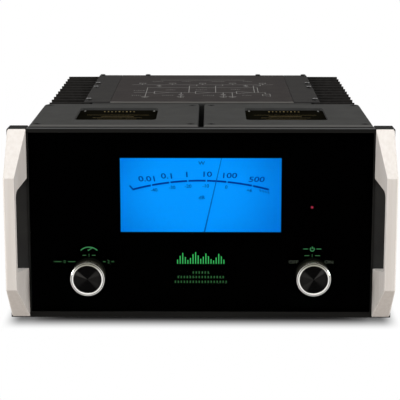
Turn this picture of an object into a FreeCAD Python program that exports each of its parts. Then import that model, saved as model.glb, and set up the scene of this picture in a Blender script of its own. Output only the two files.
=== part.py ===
import FreeCAD, Part
import math
import os
import re
import Sketcher

# A monoblock power amplifier: a glass front with a lit meter and two rotary knobs between two
# faceted aluminium handles, two transformer covers behind it, and a deck between finned heat sinks.
# Millimetres. +Z is up, the glass faces -Y, and the origin is under the middle, on the ground.

V = FreeCAD.Vector
doc = FreeCAD.newDocument("monoblock_amplifier")

# Driving dimensions. "y" names are places on the Y axis, "z" names are heights above the ground.
SIZES = {
    "foot_height": 14.2, "front_top": 238.0, "glass_y": -233.5,
    "front_half": 200.0, "frame_lip": 1.0, "frame_depth": 16.0,
    "frame_side": 2.0, "frame_head": 4.4, "frame_sill": 7.0,
    "glass_thick": 5.0, "mask_thick": 4.0, "plate": 2.0,
    "window_half": 93.2, "window_low": 115.1, "window_high": 203.1,
    "cap_outer": 222.25, "cap_inset": 0.8, "cap_reach": 46.0, "cap_top_drop": 49.0, "cap_low_rise": 45.0,
    "cap_draft": 8.94, "grip_depth": 40.0, "grip_top_back": 180.2, "grip_top_front": 172.0,
    "grip_low_front": 79.4, "grip_low_back": 73.7, "block_depth": 26.0,
    "knob_x": 130.0, "knob_z": 67.0, "knob_radius": 20.0, "knob_length": 26.0,
    "ring_inner": 16.2, "ring_depth": 5.0, "ring_bevel": 2.4, "shaft_radius": 3.0, "shaft_hole": 6.0,
    "led_x": 129.0, "led_z": 145.4, "led_radius": 1.5,
    "pan_half": 200.0, "pan_wall": 2.0, "pan_high": 50.0, "pan_ledge": 16.0, "brace_half": 18.0,
    "cover_y": -215.5, "cover_back_y": -34.5, "cover_inner": 3.2, "cover_wall": 2.0,
    "cover_top": 3.5, "name_inner": 53.8, "name_outer": 151.0, "name_front_y": -166.5,
    "name_back_y": -68.5, "name_margin": 2.0, "name_thick": 3.0,
    "screw_inner_x": 12.0, "screw_outer_x": 191.5, "screw_front_y": -196.8, "screw_back_y": -47.1,
    "screw_head": 4.5, "screw_shank": 2.0, "screw_sunk": 2.5, "screw_length": 14.0,
    "bulkhead_y": -33.5, "deck_front_y": -26.7, "panel_y": 244.5, "deck_back_y": 246.5,
    "deck_thick": 1.6, "deck_seam": 117.5, "seam_gap": 0.4, "sink_inner": 143.0,
    "sink_outer": 151.0, "fin_tip": 195.7, "fin_root_half": 1.7, "fin_tip_half": 1.1,
    "fin_first_y": -23.5, "fin_count": 11, "fin_pitch": 26.4, "sink_low": 24.0,
    "pivot_z": 94.3, "needle_length": 110.0, "needle_rest": 12.7,
    "post_first_x": -115.0, "post_pitch": 36.0, "post_z": 150.0, "block_seat": 12.0, "block_edge": 5.0,
    "cap_length": 22.0,
    "xlr_x": 100.0, "xlr_z": 188.0, "jack_depth": 22.4,
    "inlet_x": -85.0, "inlet_z": 62.0, "mode_x": 118.0, "mode_z": 142.0,
    "switch_neck": 4.7, "meter_half": 97.0, "meter_low": 68.0, "meter_high": 209.0,
    "meter_wall": 2.0, "meter_depth": 50.0, "meter_y": -224.5, "dial_y": -213.5,
    "dial_low": 111.5, "dial_thick": 1.0, "guide_thick": 4.0,
    "core_radius": 7.0, "magnet_inner": 11.5, "magnet_outer": 17.0, "core_front": 23.0,
    "core_back": 39.0, "staff_radius": 0.8, "needle_front": 16.8, "needle_thick": 0.8,
    "knob_gap": 1.0, "face_dish": 1.0, "boss_depth": 15.0, "flute_half": 1.1, "flute_depth": 0.8,
    "flute_count": 40, "vent_x": 70.0, "vent_y": 0.0, "vent_run": 210.0, "vent_count": 7,
    "flange_half": 140.0, "foot_radius": 20.0, "foot_seat": 4.0, "foot_front_x": 165.0,
    "foot_front_y": -158.5, "foot_back_x": 115.0, "foot_back_y": 215.0, "cover_corner": 10.0,
    "deck_screw_x": 146.0, "deck_screw_head": 3.6, "deck_screw_shank": 1.6, "core_x": 101.5,
    "core_y": -112.0, "core_wide": 132.0, "core_deep": 88.0,
    "can_x": 42.0, "can_y": 30.0, "can_pitch": 80.0, "can_radius": 32.0, "can_tall": 105.0,
    "package_thick": 5.0, "board_thick": 1.6, "board_front_y": -14.0, "board_back_y": 230.0,
    "package_pitch": 28.0, "post_thread": 4.0, "xlr_barrel": 12.0,
    "phono_x": 60.0, "phono_back": 5.0, "control_x": 48.0, "control_z": 110.0, "control_neck": 3.4,
    "inlet_half": 14.5, "inlet_tall": 10.5, "mode_half": 5.0, "mode_tall": 8.0,
}
SIDES = (("left", -1), ("right", 1))
TURNED = 24      # flat sides on a round piece that turns or shows
RIM = 48         # flat sides round a knob's face

sheet = doc.addObject("Spreadsheet::Sheet", "dims")
for row, (alias, size) in enumerate(SIZES.items(), start=1):
    sheet.set("A%d" % row, alias.replace("_", " "))
    sheet.set("B%d" % row, str(size))
    sheet.setAlias("B%d" % row, alias)
doc.recompute()

NODES = []


def formula(text):
    """A formula in the sheet's words, written the way the document reads it."""
    return re.sub(r"[a-z_]+", lambda word: "dims." + word.group(0) if word.group(0) in SIZES
                  else word.group(0), str(text))


def value(text):
    """The number that a formula gives."""
    return float(sheet.evalExpression(formula(text)))


def bind(thing, **formulas):
    """Tie an object's properties to formulas."""
    for name, text in formulas.items():
        thing.setExpression(name, formula(text))
    return thing


def place(thing, x="0", y="0", z="0"):
    """Tie an object's position to formulas."""
    for name, text in (("x", x), ("y", y), ("z", z)):
        thing.setExpression(".Placement.Base." + name, formula(text))
    return thing


def node(thing, label):
    """Keep a finished piece under its own name."""
    thing.Label = label
    NODES.append(thing)
    return thing


# Plain solids and what joins them.

def box(x, y, z):
    """A block between two formulas on each axis."""
    block = doc.addObject("Part::Box", "block")
    bind(block, Length="(%s) - (%s)" % (x[1], x[0]), Width="(%s) - (%s)" % (y[1], y[0]),
         Height="(%s) - (%s)" % (z[1], z[0]))
    return place(block, x[0], y[0], z[0])


TURNS = {"X": FreeCAD.Rotation(V(0, 1, 0), 90), "Y": FreeCAD.Rotation(V(1, 0, 0), -90),
         "Z": FreeCAD.Rotation()}


def on_axis(thing, axis, start, across):
    """Stand a round solid along an axis, from start, at two places across that axis."""
    thing.Placement = FreeCAD.Placement(V(), TURNS[axis])
    spots = list(across)
    spots.insert("XYZ".index(axis), start)
    return place(thing, *spots)


def bar(axis, across, radius, start, end, sides=12):
    """A straight bar with flat sides: a hexagonal pillar, a nut, or a small round piece in few faces."""
    prism = bind(doc.addObject("Part::Prism", "bar"), Circumradius=radius,
                 Height="(%s) - (%s)" % (end, start))
    prism.Polygon = sides
    return on_axis(prism, axis, start, across)


def round_it(radius, sides=12):
    """The corner radius of a many-sided hole whose flats lie on a circle."""
    return "(%s) / cos(%g deg)" % (radius, 180 / sides)


def cut(base, *tools):
    """Take the tools away from the base."""
    result = doc.addObject("Part::Cut", "cut")
    result.Base = base
    result.Tool = tools[0] if len(tools) == 1 else join(*tools)
    return result


def join(*parts):
    """Make one solid of touching parts."""
    result = doc.addObject("Part::MultiFuse", "join")
    result.Shapes = list(parts)
    result.Refine = True
    return result


def group(*parts):
    """Keep separate alike solids together in one piece."""
    result = doc.addObject("Part::Compound", "group")
    result.Links = list(parts)
    return result


def mirrored(source):
    """The same piece on the other side of the middle."""
    result = doc.addObject("Part::Mirroring", "mirrored")
    result.Source = source
    result.Normal = V(1, 0, 0)
    return result


# Sketched solids. A plane is named by its two axes, and "at" is its place on the third one.

NORMALS = {"XY": 1, "XZ": -1, "YZ": 1}


def body():
    return doc.addObject("PartDesign::Body", "body")


def sketch(owner, plane, at="0"):
    """An empty sketch on one of the body's own planes."""
    drawing = owner.newObject("Sketcher::SketchObject", "sketch")
    base = next(item for item in owner.Origin.OriginFeatures if item.Role == plane + "_Plane")
    drawing.AttachmentSupport = [(base, "")]
    drawing.MapMode = "FlatFace"
    bind(drawing, **{".AttachmentOffset.Base.z": "%d * (%s)" % (NORMALS[plane], at)})
    return drawing


def fix(drawing, kind, where, text):
    """Give a sketch a size that follows a formula."""
    number = drawing.addConstraint(Sketcher.Constraint(kind, *where, value(text)))
    drawing.setExpression("Constraints[%d]" % number, formula(text))


def outline(drawing, points):
    """A closed outline of straight lines through points given as pairs of formulas."""
    first = drawing.GeometryCount
    spots = [V(value(a), value(b), 0) for a, b in points]
    count = len(spots)
    for number in range(count):
        drawing.addGeometry(Part.LineSegment(spots[number], spots[(number + 1) % count]), False)
    for number in range(count):
        after = (number + 1) % count
        drawing.addConstraint(Sketcher.Constraint("Coincident", first + number, 2, first + after, 1))
        fix(drawing, "DistanceX", (-1, 1, first + number, 1), points[number][0])
        fix(drawing, "DistanceY", (-1, 1, first + number, 1), points[number][1])
    return drawing


def rectangle(drawing, low, high):
    """An outline between two corners."""
    return outline(drawing, [(low[0], low[1]), (high[0], low[1]), (high[0], high[1]), (low[0], high[1])])


def soft_rectangle(drawing, low, high, radii, steps=3):
    """A rectangle with corners rounded in short straight steps. The radii start at the low corner."""
    corners = [(low[0], low[1], 1, 1), (high[0], low[1], -1, 1),
               (high[0], high[1], -1, -1), (low[0], high[1], 1, -1)]
    points = []
    for number, ((x, y, right, up), radius) in enumerate(zip(corners, radii)):
        for step in range(steps + 1):
            turn = 180 + 90 * number + 90 * step / steps
            points.append(("%s + %d * %s + %s * cos(%g deg)" % (x, right, radius, radius, turn),
                           "%s + %d * %s + %s * sin(%g deg)" % (y, up, radius, radius, turn)))
    return outline(drawing, points)


def polygon(drawing, centre, radius, sides=12):
    """An even polygon with its first corner on the sketch's first axis, as a bar has."""
    corners = []
    for number in range(sides):
        turn = 360 / sides * number
        corners.append(("(%s) + (%s) * cos(%g deg)" % (centre[0], radius, turn),
                        "(%s) + (%s) * sin(%g deg)" % (centre[1], radius, turn)))
    return outline(drawing, corners)


def pad(owner, drawing, length):
    """Grow the drawing towards the plus end of its third axis."""
    feature = bind(owner.newObject("PartDesign::Pad", "pad"), Length=length)
    feature.Profile = drawing
    feature.Reversed = "XZ" in drawing.AttachmentSupport[0][0].Role
    return feature


def pocket(owner, drawing, depth):
    """Cut the drawing towards the plus end of its third axis."""
    feature = bind(owner.newObject("PartDesign::Pocket", "pocket"), Length=depth)
    feature.Profile = drawing
    feature.Reversed = "XZ" not in drawing.AttachmentSupport[0][0].Role
    return feature


def origin_axis(owner, name):
    return next(item for item in owner.Origin.OriginFeatures if item.Role == name + "_Axis")


def row_of(owner, feature, axis, length, count):
    """Repeat a feature in a straight row."""
    pattern = owner.newObject("PartDesign::LinearPattern", "row")
    pattern.Originals = [feature]
    pattern.Direction = (origin_axis(owner, axis), [""])
    bind(pattern, Length=length, Occurrences=count)
    owner.Tip = pattern
    return pattern


def ring_of(owner, feature, count):
    """Repeat a feature all round the Y axis."""
    pattern = owner.newObject("PartDesign::PolarPattern", "ring")
    pattern.Originals = [feature]
    pattern.Axis = (origin_axis(owner, "Y"), [""])
    pattern.Angle = 360
    bind(pattern, Occurrences=count)
    owner.Tip = pattern
    return pattern


def rounded(owner, base, radius, test, kind="Fillet"):
    """Round, or bevel, the edges of the base that pass a test."""
    doc.recompute()
    names = ["Edge%d" % number for number, edge in enumerate(base.Shape.Edges, start=1) if test(edge)]
    feature = owner.newObject("PartDesign::" + kind, kind.lower())
    feature.Base = (base, names)
    return bind(feature, **{"Radius" if kind == "Fillet" else "Size": radius})


def lies_along(edge, axis):
    """True for a straight edge that runs along one axis."""
    spans = (edge.BoundBox.XLength, edge.BoundBox.YLength, edge.BoundBox.ZLength)
    return all((span > 0.5) == (name == axis) for name, span in zip("XYZ", spans))


def near(number, text, slack=0.05):
    return abs(number - value(text)) < slack


# The front: a framed sheet of glass over a black mask, on a steel sub-panel.

def knob_holes(drawing, radius):
    for name, side in SIDES:
        polygon(drawing, ("%d * knob_x" % side, "knob_z"), radius)
    return drawing


def front_frame():
    """A black extrusion round the glass, with softened front edges."""
    owner = body()
    outer = sketch(owner, "XZ", "glass_y - frame_lip")
    rectangle(outer, ("-front_half", "foot_height"), ("front_half", "front_top"))
    slab = pad(owner, outer, "frame_depth + frame_lip")
    rounded(owner, slab, "0.8", lambda edge: lies_along(edge, "X")
            or near(edge.BoundBox.YMax, "glass_y - frame_lip"), "Chamfer")
    opening = sketch(owner, "XZ", "glass_y - 2 * frame_lip")
    rectangle(opening, ("frame_side - front_half", "foot_height + frame_sill"),
              ("front_half - frame_side", "front_top - frame_head"))
    pocket(owner, opening, "frame_depth + 3 * frame_lip")
    node(owner, "front_frame")


def glazed_sheet(label, y, thick, window, led):
    """A sheet that fills the frame, with holes for the two knob shafts."""
    owner = body()
    face = sketch(owner, "XZ", y)
    rectangle(face, ("frame_side - front_half", "foot_height + frame_sill"),
              ("front_half - frame_side", "front_top - frame_head"))
    pad(owner, face, thick)
    holes = knob_holes(sketch(owner, "XZ", y + " - 1"), "shaft_hole")
    if window:
        rectangle(holes, ("-window_half", "window_low"), ("window_half", "window_high"))
    if led:
        polygon(holes, ("led_x", "led_z"), "led_radius")
    pocket(owner, holes, thick + " + 2")
    node(owner, label)


def front_subpanel():
    """The steel plate that carries the meter and the switches."""
    owner = body()
    face = sketch(owner, "XZ", "glass_y + frame_depth")
    rectangle(face, ("2 - front_half", "foot_height + plate"), ("front_half - 2", "front_top - 2"))
    pad(owner, face, "plate")
    holes = knob_holes(sketch(owner, "XZ", "glass_y + frame_depth - 1"), "switch_neck")
    rectangle(holes, ("-meter_half", "meter_low"), ("meter_half", "meter_high"))
    pocket(owner, holes, "plate + 2")
    node(owner, "front_subpanel")


def end_cap():
    """A faceted cast handle: a bar that stands off the front, with a finger gap behind it."""
    owner = body()
    side = sketch(owner, "YZ", "front_half")
    outline(side, [("glass_y", "foot_height + cap_inset"), ("glass_y", "front_top"),
                   ("glass_y - cap_reach", "front_top - cap_top_drop"),
                   ("glass_y - cap_reach", "foot_height + cap_low_rise")])
    slab = pad(owner, side, "cap_outer - cap_inset - front_half")
    gap = sketch(owner, "YZ", "front_half - 1")
    outline(gap, [("glass_y + 1", "grip_low_back"), ("glass_y + 1", "grip_top_back"),
                  ("glass_y", "grip_top_back"), ("glass_y - grip_depth", "grip_top_front"),
                  ("glass_y - grip_depth", "grip_low_front"), ("glass_y", "grip_low_back")])
    grip = pocket(owner, gap, "cap_outer - front_half + 2")
    corners = rounded(owner, grip, "9", lambda edge: lies_along(edge, "X")
                      and near(edge.BoundBox.YMax, "glass_y - grip_depth")
                      and near(edge.BoundBox.ZMax, "grip_top_front"))
    heel = rounded(owner, corners, "2", lambda edge: lies_along(edge, "X")
                   and near(edge.BoundBox.YMax, "glass_y - grip_depth")
                   and near(edge.BoundBox.ZMax, "grip_low_front"))
    slant = sketch(owner, "XY", "foot_height - 1")
    outline(slant, [("front_half - 2", "glass_y"), ("front_half", "glass_y"),
                    ("front_half + cap_draft * (cap_reach + 2) / cap_reach", "glass_y - cap_reach - 2"),
                    ("front_half - 2", "glass_y - cap_reach - 2")])
    draft = pocket(owner, slant, "front_top - foot_height + 2")
    rounded(owner, draft, "1.2", lambda edge: near(edge.BoundBox.XMin, "cap_outer - cap_inset")
            and edge.BoundBox.YMin < value("glass_y - 1")
            and edge.BoundBox.DiagonalLength > 30, "Chamfer")
    return owner


def end_block():
    """The black block behind each handle."""
    owner = body()
    plan = sketch(owner, "XY", "foot_height")
    rectangle(plan, ("front_half", "glass_y"), ("cap_outer", "glass_y + block_depth"))
    slab = pad(owner, plan, "front_top - foot_height")
    corner = rounded(owner, slab, "2", lambda edge: lies_along(edge, "Z")
                     and near(edge.BoundBox.XMax, "cap_outer")
                     and near(edge.BoundBox.YMax, "glass_y + block_depth"))
    rounded(owner, corner, "1", lambda edge: near(edge.BoundBox.ZMin, "front_top")
            and edge.BoundBox.YMax > value("glass_y + 1"), "Chamfer")
    return owner


def handles():
    """Both handles and their blocks."""
    for label, maker in (("end_cap", end_cap), ("end_block", end_block)):
        right = node(maker(), "right_" + label)
        node(mirrored(right), "left_" + label)


# The meter: a moving coil in a ring magnet, with its needle in front of a lit dial.


def meter_y(depth):
    """A place behind the glass."""
    return "glass_y + %s" % depth


def meter_housing():
    """An open-fronted moulded box behind the window."""
    shell = box(("-meter_half", "meter_half"), ("meter_y", "glass_y + meter_depth"),
                ("meter_low", "meter_high"))
    hollow = box(("meter_wall - meter_half", "meter_half - meter_wall"),
                 ("meter_y - 1", "glass_y + meter_depth - meter_wall"),
                 ("meter_low + meter_wall", "meter_high - meter_wall"))
    node(cut(shell, hollow), "meter_housing")


def meter_dial():
    """The printed dial, and the clear sheet behind it that spreads the light."""
    across = ("meter_wall - meter_half", "meter_half - meter_wall")
    tall = ("dial_low", "meter_high - meter_wall")
    node(box(across, ("dial_y", "dial_y + dial_thick"), tall), "meter_dial")
    node(box(across, ("dial_y + dial_thick", "dial_y + dial_thick + guide_thick"), tall),
         "meter_light_guide")


def meter_magnet():
    """A ring magnet seated on the back of the housing, with the iron core held inside it."""
    centre = ("0", "pivot_z")
    back = "glass_y + meter_depth - meter_wall"
    ring = cut(bar("Y", centre, "magnet_outer", meter_y("core_front"), back, 20),
               bar("Y", centre, "magnet_inner", meter_y("core_front - 1"), back + " + 1", 20))
    core = bar("Y", centre, "core_radius", meter_y("core_front"), meter_y("core_back"), 16)
    web = box(("-1.5", "1.5"), (meter_y("core_front"), meter_y("core_back")),
              ("pivot_z - magnet_inner - 1", "pivot_z + magnet_inner + 1"))
    node(join(ring, core, web), "meter_magnet")


def meter_bridges():
    """The two brass bridges whose jewelled holes carry the staff of the moving coil."""
    centre = ("0", "pivot_z")
    beam = box(("-magnet_outer", "magnet_outer"), (meter_y(12), meter_y(14)), ("pivot_z - 3", "pivot_z + 3"))
    legs = [bar("Y", ("%d * 14.2" % side, "pivot_z"), "2", meter_y(14), meter_y("core_front"), 6)
            for name, side in SIDES]
    stud = box(("-8.8", "-7.6"), (meter_y(14), meter_y(15.6)), ("pivot_z - 1.6", "pivot_z"))
    bearing = round_it("staff_radius + 0.05")
    front = cut(join(beam, stud, *legs), bar("Y", centre, bearing, meter_y(11), meter_y(15)))
    disc = bar("Y", centre, "magnet_inner", meter_y(44), meter_y(46), 20)
    rear = cut(disc, bar("Y", centre, bearing, meter_y(43), meter_y(47)))
    node(group(front, rear), "meter_bridges")


def at_pivot(thing, label):
    """Turn a piece of the movement to its place at rest, about the pivot."""
    thing.Placement = FreeCAD.Placement(V(), FreeCAD.Rotation(V(0, 1, 0), value("needle_rest")))
    thing.setExpression(".Placement.Rotation.Angle", formula("needle_rest * 1 deg"))
    place(thing, "0", "glass_y", "pivot_z")
    return node(thing, label)


def meter_needle():
    """The pointer with its hub, its tail and the balance weight on it."""
    front = "needle_front"
    back = "needle_front + needle_thick"
    owner = body()
    blade = sketch(owner, "XZ", front)
    outline(blade, [("-0.8", "2"), ("0.8", "2"), ("0.35", "needle_length"), ("-0.35", "needle_length")])
    pad(owner, blade, "needle_thick")
    tail = box(("-1", "1"), (front, back), ("-14", "-2"))
    weight = bar("Y", ("0", "-13"), "2.2", front + " - 0.6", back + " + 0.6")
    hub = bar("Y", ("0", "0"), "3", front + " - 0.4", back + " + 0.9")
    collet = bar("Y", ("0", "0"), "1.4", "14.6", front)
    bore = bar("Y", ("0", "0"), "staff_radius", "14", "19")
    at_pivot(cut(join(owner, tail, weight, hub, collet), bore), "meter_needle")


def moving_coil():
    """A rectangular coil round the core, on a staff that runs in both bridges."""
    loop = cut(box(("-10", "10"), ("20", "42"), ("-2", "2")), box(("-8", "8"), ("21.5", "40.5"), ("-3", "3")))
    front_staff = bar("Y", ("0", "0"), "staff_radius", "12.4", "20.5")
    rear_staff = bar("Y", ("0", "0"), "staff_radius", "41", "45.6")
    at_pivot(join(loop, front_staff, rear_staff), "moving_coil")


def meter_hairspring(turns=2.5, steps=12, first=1.7, last=8.2, strip=0.25, wide=0.9):
    """A flat spiral spring of short straight lengths, from the collet out to the stud on the front bridge."""
    def edge_of(offset):
        points = []
        for number in range(int(turns * steps) + 1):
            angle = 2 * math.pi * number / steps
            reach = first + (last - first) * number / (turns * steps) + offset
            points.append(V(reach * math.cos(angle), 0, reach * math.sin(angle)))
        return points

    outer = edge_of(strip / 2)
    inner = edge_of(-strip / 2)
    rim = Part.makePolygon(outer + inner[::-1] + outer[:1])
    spring = doc.addObject("Part::Feature", "spiral")
    spring.Shape = Part.Face(rim).extrude(V(0, wide, 0))
    place(spring, "0", meter_y(14.7), "pivot_z")
    node(spring, "meter_hairspring")


# The controls: two rotary switches with a knob on each shaft, and the status lamp.

def rotary_switches():
    """The two switch bodies behind the sub-panel, each with its threaded neck."""
    back = "glass_y + frame_depth + plate"
    switches = []
    for name, side in SIDES:
        centre = ("%d * knob_x" % side, "knob_z")
        wafer = box((centre[0] + " - 14", centre[0] + " + 14"), (back, back + " + 18"),
                    ("knob_z - 14", "knob_z + 14"))
        neck = bar("Y", centre, "switch_neck", "glass_y + glass_thick + mask_thick", back)
        nut = bar("Y", centre, "7.5", "glass_y + glass_thick + mask_thick + 2", "glass_y + frame_depth", 6)
        bore = bar("Y", centre, round_it("shaft_radius + 0.05", TURNED), "glass_y", back + " + 19", TURNED)
        switches.append(cut(join(wafer, neck, nut), bore))
    node(group(*switches), "rotary_switches")


def status_led():
    """A small red lamp that looks out through the mask."""
    lens = bar("Y", ("led_x", "led_z"), "led_radius", "glass_y + glass_thick",
               "glass_y + glass_thick + mask_thick")
    foot = bar("Y", ("led_x", "led_z"), "led_radius + 0.8", "glass_y + glass_thick + mask_thick",
               "glass_y + frame_depth")
    node(join(lens, foot), "status_led")


def at_knob(thing, side, label):
    """Seat a turned piece in front of the glass, on its shaft."""
    place(thing, "%d * knob_x" % side, "glass_y - knob_gap", "knob_z")
    return node(thing, label)


def knob(side, name):
    """A fluted knob with a flat spun face, a bright bevelled ring pressed on its boss, and its shaft."""
    core = body()
    front = "ring_depth - knob_length"
    skirt = sketch(core, "XZ", front)
    polygon(skirt, ("0", "0"), "knob_radius - 0.4", SIZES["flute_count"])
    pad(core, skirt, "knob_length - ring_depth")
    groove = sketch(core, "XZ", front + " - 1")
    outline(groove, [("-flute_half", "knob_radius + 0.4"), ("0", "knob_radius - 0.4 - flute_depth"),
                     ("flute_half", "knob_radius + 0.4")])
    ring_of(core, pocket(core, groove, "knob_length"), "flute_count")
    boss = sketch(core, "XZ", "face_dish - knob_length")
    polygon(boss, ("0", "0"), "ring_inner", RIM)
    pad(core, boss, "ring_depth - face_dish")
    bore = sketch(core, "XZ", "-boss_depth")
    polygon(bore, ("0", "0"), "shaft_radius", TURNED)
    pocket(core, bore, "boss_depth + 1")
    at_knob(core, side, name + "_knob")

    ring = body()
    band = sketch(ring, "XZ", "-knob_length")
    polygon(band, ("0", "0"), "knob_radius", RIM)
    disc = pad(ring, band, "ring_depth")
    rounded(ring, disc, "ring_bevel", lambda edge: near(edge.BoundBox.YMax, "-knob_length"), "Chamfer")
    hole = sketch(ring, "XZ", "-knob_length - 1")
    polygon(hole, ("0", "0"), "ring_inner", RIM)
    pocket(ring, hole, "ring_depth + 2")
    notch = sketch(ring, "XZ", "-knob_length - 1")
    rectangle(notch, ("-0.7", "ring_inner - 1"), ("0.7", "knob_radius + 1"))
    pocket(ring, notch, "2.4")
    at_knob(ring, side, name + "_knob_ring")

    shaft = bar("Y", ("%d * knob_x" % side, "knob_z"), "shaft_radius", "glass_y - knob_gap - boss_depth",
                "glass_y + frame_depth + plate + 17", TURNED)
    node(shaft, name + "_knob_shaft")


# The case: a stepped steel tray, its bulkhead and rear panel, the covers, the deck and the heat sinks.

def tray_plan(drawing, inset, front, step):
    """The tray's outline: wide under the transformers and narrow between the heat sinks."""
    wide = "pan_half - %s" % inset
    slim = "sink_inner - %s" % ("pan_wall" if inset != "0" else "0")
    return outline(drawing, [("-(%s)" % wide, front), (wide, front), (wide, step), (slim, step),
                             (slim, "panel_y"), ("-(%s)" % slim, "panel_y"), ("-(%s)" % slim, step),
                             ("-(%s)" % wide, step)])


def chassis_pan():
    """The folded tray, with a ledge and a brace that the covers stand on, and vent slots."""
    owner = body()
    step = "bulkhead_y + 2 * plate"
    pad(owner, tray_plan(sketch(owner, "XY", "foot_height"), "0", "cover_y", step), "pan_high - foot_height")
    inner_low = "foot_height + pan_wall"
    inner_high = "pan_high - pan_wall - foot_height - pan_wall"
    for side in ("-1", "1"):
        room = sketch(owner, "XY", inner_low)
        rectangle(room, ("brace_half" if side == "1" else "pan_wall - pan_half", "cover_y + pan_wall"),
                  ("pan_half - pan_wall" if side == "1" else "-brace_half", "bulkhead_y"))
        pocket(owner, room, inner_high)
        mouth = sketch(owner, "XY", "pan_high - pan_wall")
        rectangle(mouth, ("brace_half" if side == "1" else "pan_ledge - pan_half", "cover_y + pan_ledge"),
                  ("pan_half - pan_ledge" if side == "1" else "-brace_half", "bulkhead_y"))
        pocket(owner, mouth, "pan_wall + 1")
    slit = sketch(owner, "XY", inner_low)
    rectangle(slit, ("pan_wall - pan_half", "bulkhead_y"), ("pan_half - pan_wall", "bulkhead_y + plate"))
    pocket(owner, slit, "pan_high")
    rear = sketch(owner, "XY", inner_low)
    rectangle(rear, ("pan_wall - sink_inner", "bulkhead_y + plate"), ("sink_inner - pan_wall", "panel_y + 1"))
    pocket(owner, rear, "pan_high")
    vent = sketch(owner, "XY", "foot_height - 1")
    for side in ("-1", "1"):
        middle = "%s * vent_x" % side
        rectangle(vent, (middle + " - 20", "vent_y"), (middle + " + 20", "vent_y + 5"))
    slots = pocket(owner, vent, "pan_wall + 2")
    row_of(owner, slots, "Y", "vent_run", "vent_count")
    holes = sketch(owner, "XY", "foot_height - 1")
    for spot in foot_spots():
        polygon(holes, spot, "screw_shank", 6)
    pocket(owner, holes, "pan_wall + 2")
    node(owner, "chassis_pan")


def centre_bulkhead():
    """The plate between the transformers and the amplifier, folded back at the top."""
    owner = body()
    face = sketch(owner, "XZ", "bulkhead_y")
    outline(face, [("pan_wall - pan_half", "foot_height + pan_wall"),
                   ("pan_half - pan_wall", "foot_height + pan_wall"),
                   ("pan_half - pan_wall", "front_top - 8"), ("flange_half", "front_top - 8"),
                   ("flange_half", "front_top"), ("-flange_half", "front_top"),
                   ("-flange_half", "front_top - 8"), ("pan_wall - pan_half", "front_top - 8")])
    pad(owner, face, "plate")
    fold = sketch(owner, "XY", "front_top - plate")
    rectangle(fold, ("-flange_half", "bulkhead_y"), ("flange_half", "bulkhead_y + 20"))
    pad(owner, fold, "plate")
    wires = sketch(owner, "XZ", "bulkhead_y - 1")
    for name, side in SIDES:
        polygon(wires, ("%d * 70" % side, "44"), "12")
    pocket(owner, wires, "plate + 2")
    node(owner, "centre_bulkhead")


def rear_panel():
    """The steel panel that carries the connectors, folded forward at the top."""
    owner = body()
    face = sketch(owner, "XZ", "panel_y")
    rectangle(face, ("-sink_outer", "foot_height"), ("sink_outer", "front_top"))
    pad(owner, face, "plate")
    fold = sketch(owner, "XY", "front_top - plate")
    rectangle(fold, ("-flange_half", "panel_y - 12"), ("flange_half", "panel_y"))
    pad(owner, fold, "plate")
    holes = sketch(owner, "XZ", "panel_y - 1")
    rectangle(holes, ("post_first_x - block_seat", "post_z - block_seat"),
              ("post_first_x + 3 * post_pitch + block_seat", "post_z + block_seat"))
    polygon(holes, ("xlr_x", "xlr_z"), "xlr_barrel", 20)
    for spot in phono_spots():
        polygon(holes, spot, "phono_back", 8)
    for spot in control_spots():
        polygon(holes, spot, "control_neck", 8)
    rectangle(holes, ("inlet_x - inlet_half", "inlet_z - inlet_tall"),
              ("inlet_x + inlet_half", "inlet_z + inlet_tall"))
    rectangle(holes, ("mode_x - mode_half", "mode_z - mode_tall"),
              ("mode_x + mode_half", "mode_z + mode_tall"))
    pocket(owner, holes, "plate + 2")
    node(owner, "rear_panel")


def screw(axis, spot, head, inward):
    """A sunk screw: its head's outer face, and the way that it is driven."""
    under = "%s + %d * screw_sunk" % (head, inward)
    tip = "%s + %d * screw_length" % (head, inward)
    crown = bar(axis, spot, "screw_head", *(head, under)[::inward])
    shank = bar(axis, spot, "screw_shank", *(under, tip)[::inward], 6)
    return join(crown, shank)


def cover_screw_spots():
    return [("%d * %s" % (side, x), y) for name, side in SIDES for x in ("screw_inner_x", "screw_outer_x")
            for y in ("screw_front_y", "screw_back_y")]


def foot_spots():
    return [("%d * %s" % (side, x), y) for name, side in SIDES
            for x, y in (("foot_front_x", "foot_front_y"), ("foot_back_x", "foot_back_y"))]


def case_screws():
    """The alike sunk screws of the two covers and the four feet."""
    top = [screw("Z", spot, "front_top", -1) for spot in cover_screw_spots()]
    low = [screw("Z", spot, "foot_seat", 1) for spot in foot_spots()]
    node(group(*top, *low), "case_screws")


def cover_standoffs():
    """What the covers' screws bite into: six pillars, and two blocks on the sub-panel above the meter."""
    under = "front_top - cover_top"
    supports = []
    for spot in cover_screw_spots():
        if "screw_inner_x" in spot[0] and spot[1] == "screw_front_y":
            base = box((spot[0] + " - 5.5", spot[0] + " + 5.5"), ("cover_y", spot[1] + " + 6"),
                       ("meter_high + 8", under))
        else:
            base = bar("Z", spot, "5", "pan_high", under, 6)
        bore = bar("Z", spot, "screw_shank", "front_top - screw_length", "front_top", 6)
        supports.append(cut(base, bore))
    node(group(*supports), "cover_standoffs")


def feet():
    """Four moulded feet, each hollowed from below for its screw."""
    pads = []
    for spot in foot_spots():
        foot = bar("Z", spot, "foot_radius", "0", "foot_height", 18)
        access = bar("Z", spot, "5.5", "-1", "foot_seat", 8)
        seat = bar("Z", spot, "screw_head", "foot_seat", "foot_seat + screw_sunk")
        bore = bar("Z", spot, "screw_shank", "foot_seat + screw_sunk", "foot_height + 1", 6)
        pads.append(cut(foot, access, seat, bore))
    node(group(*pads), "feet")


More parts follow.
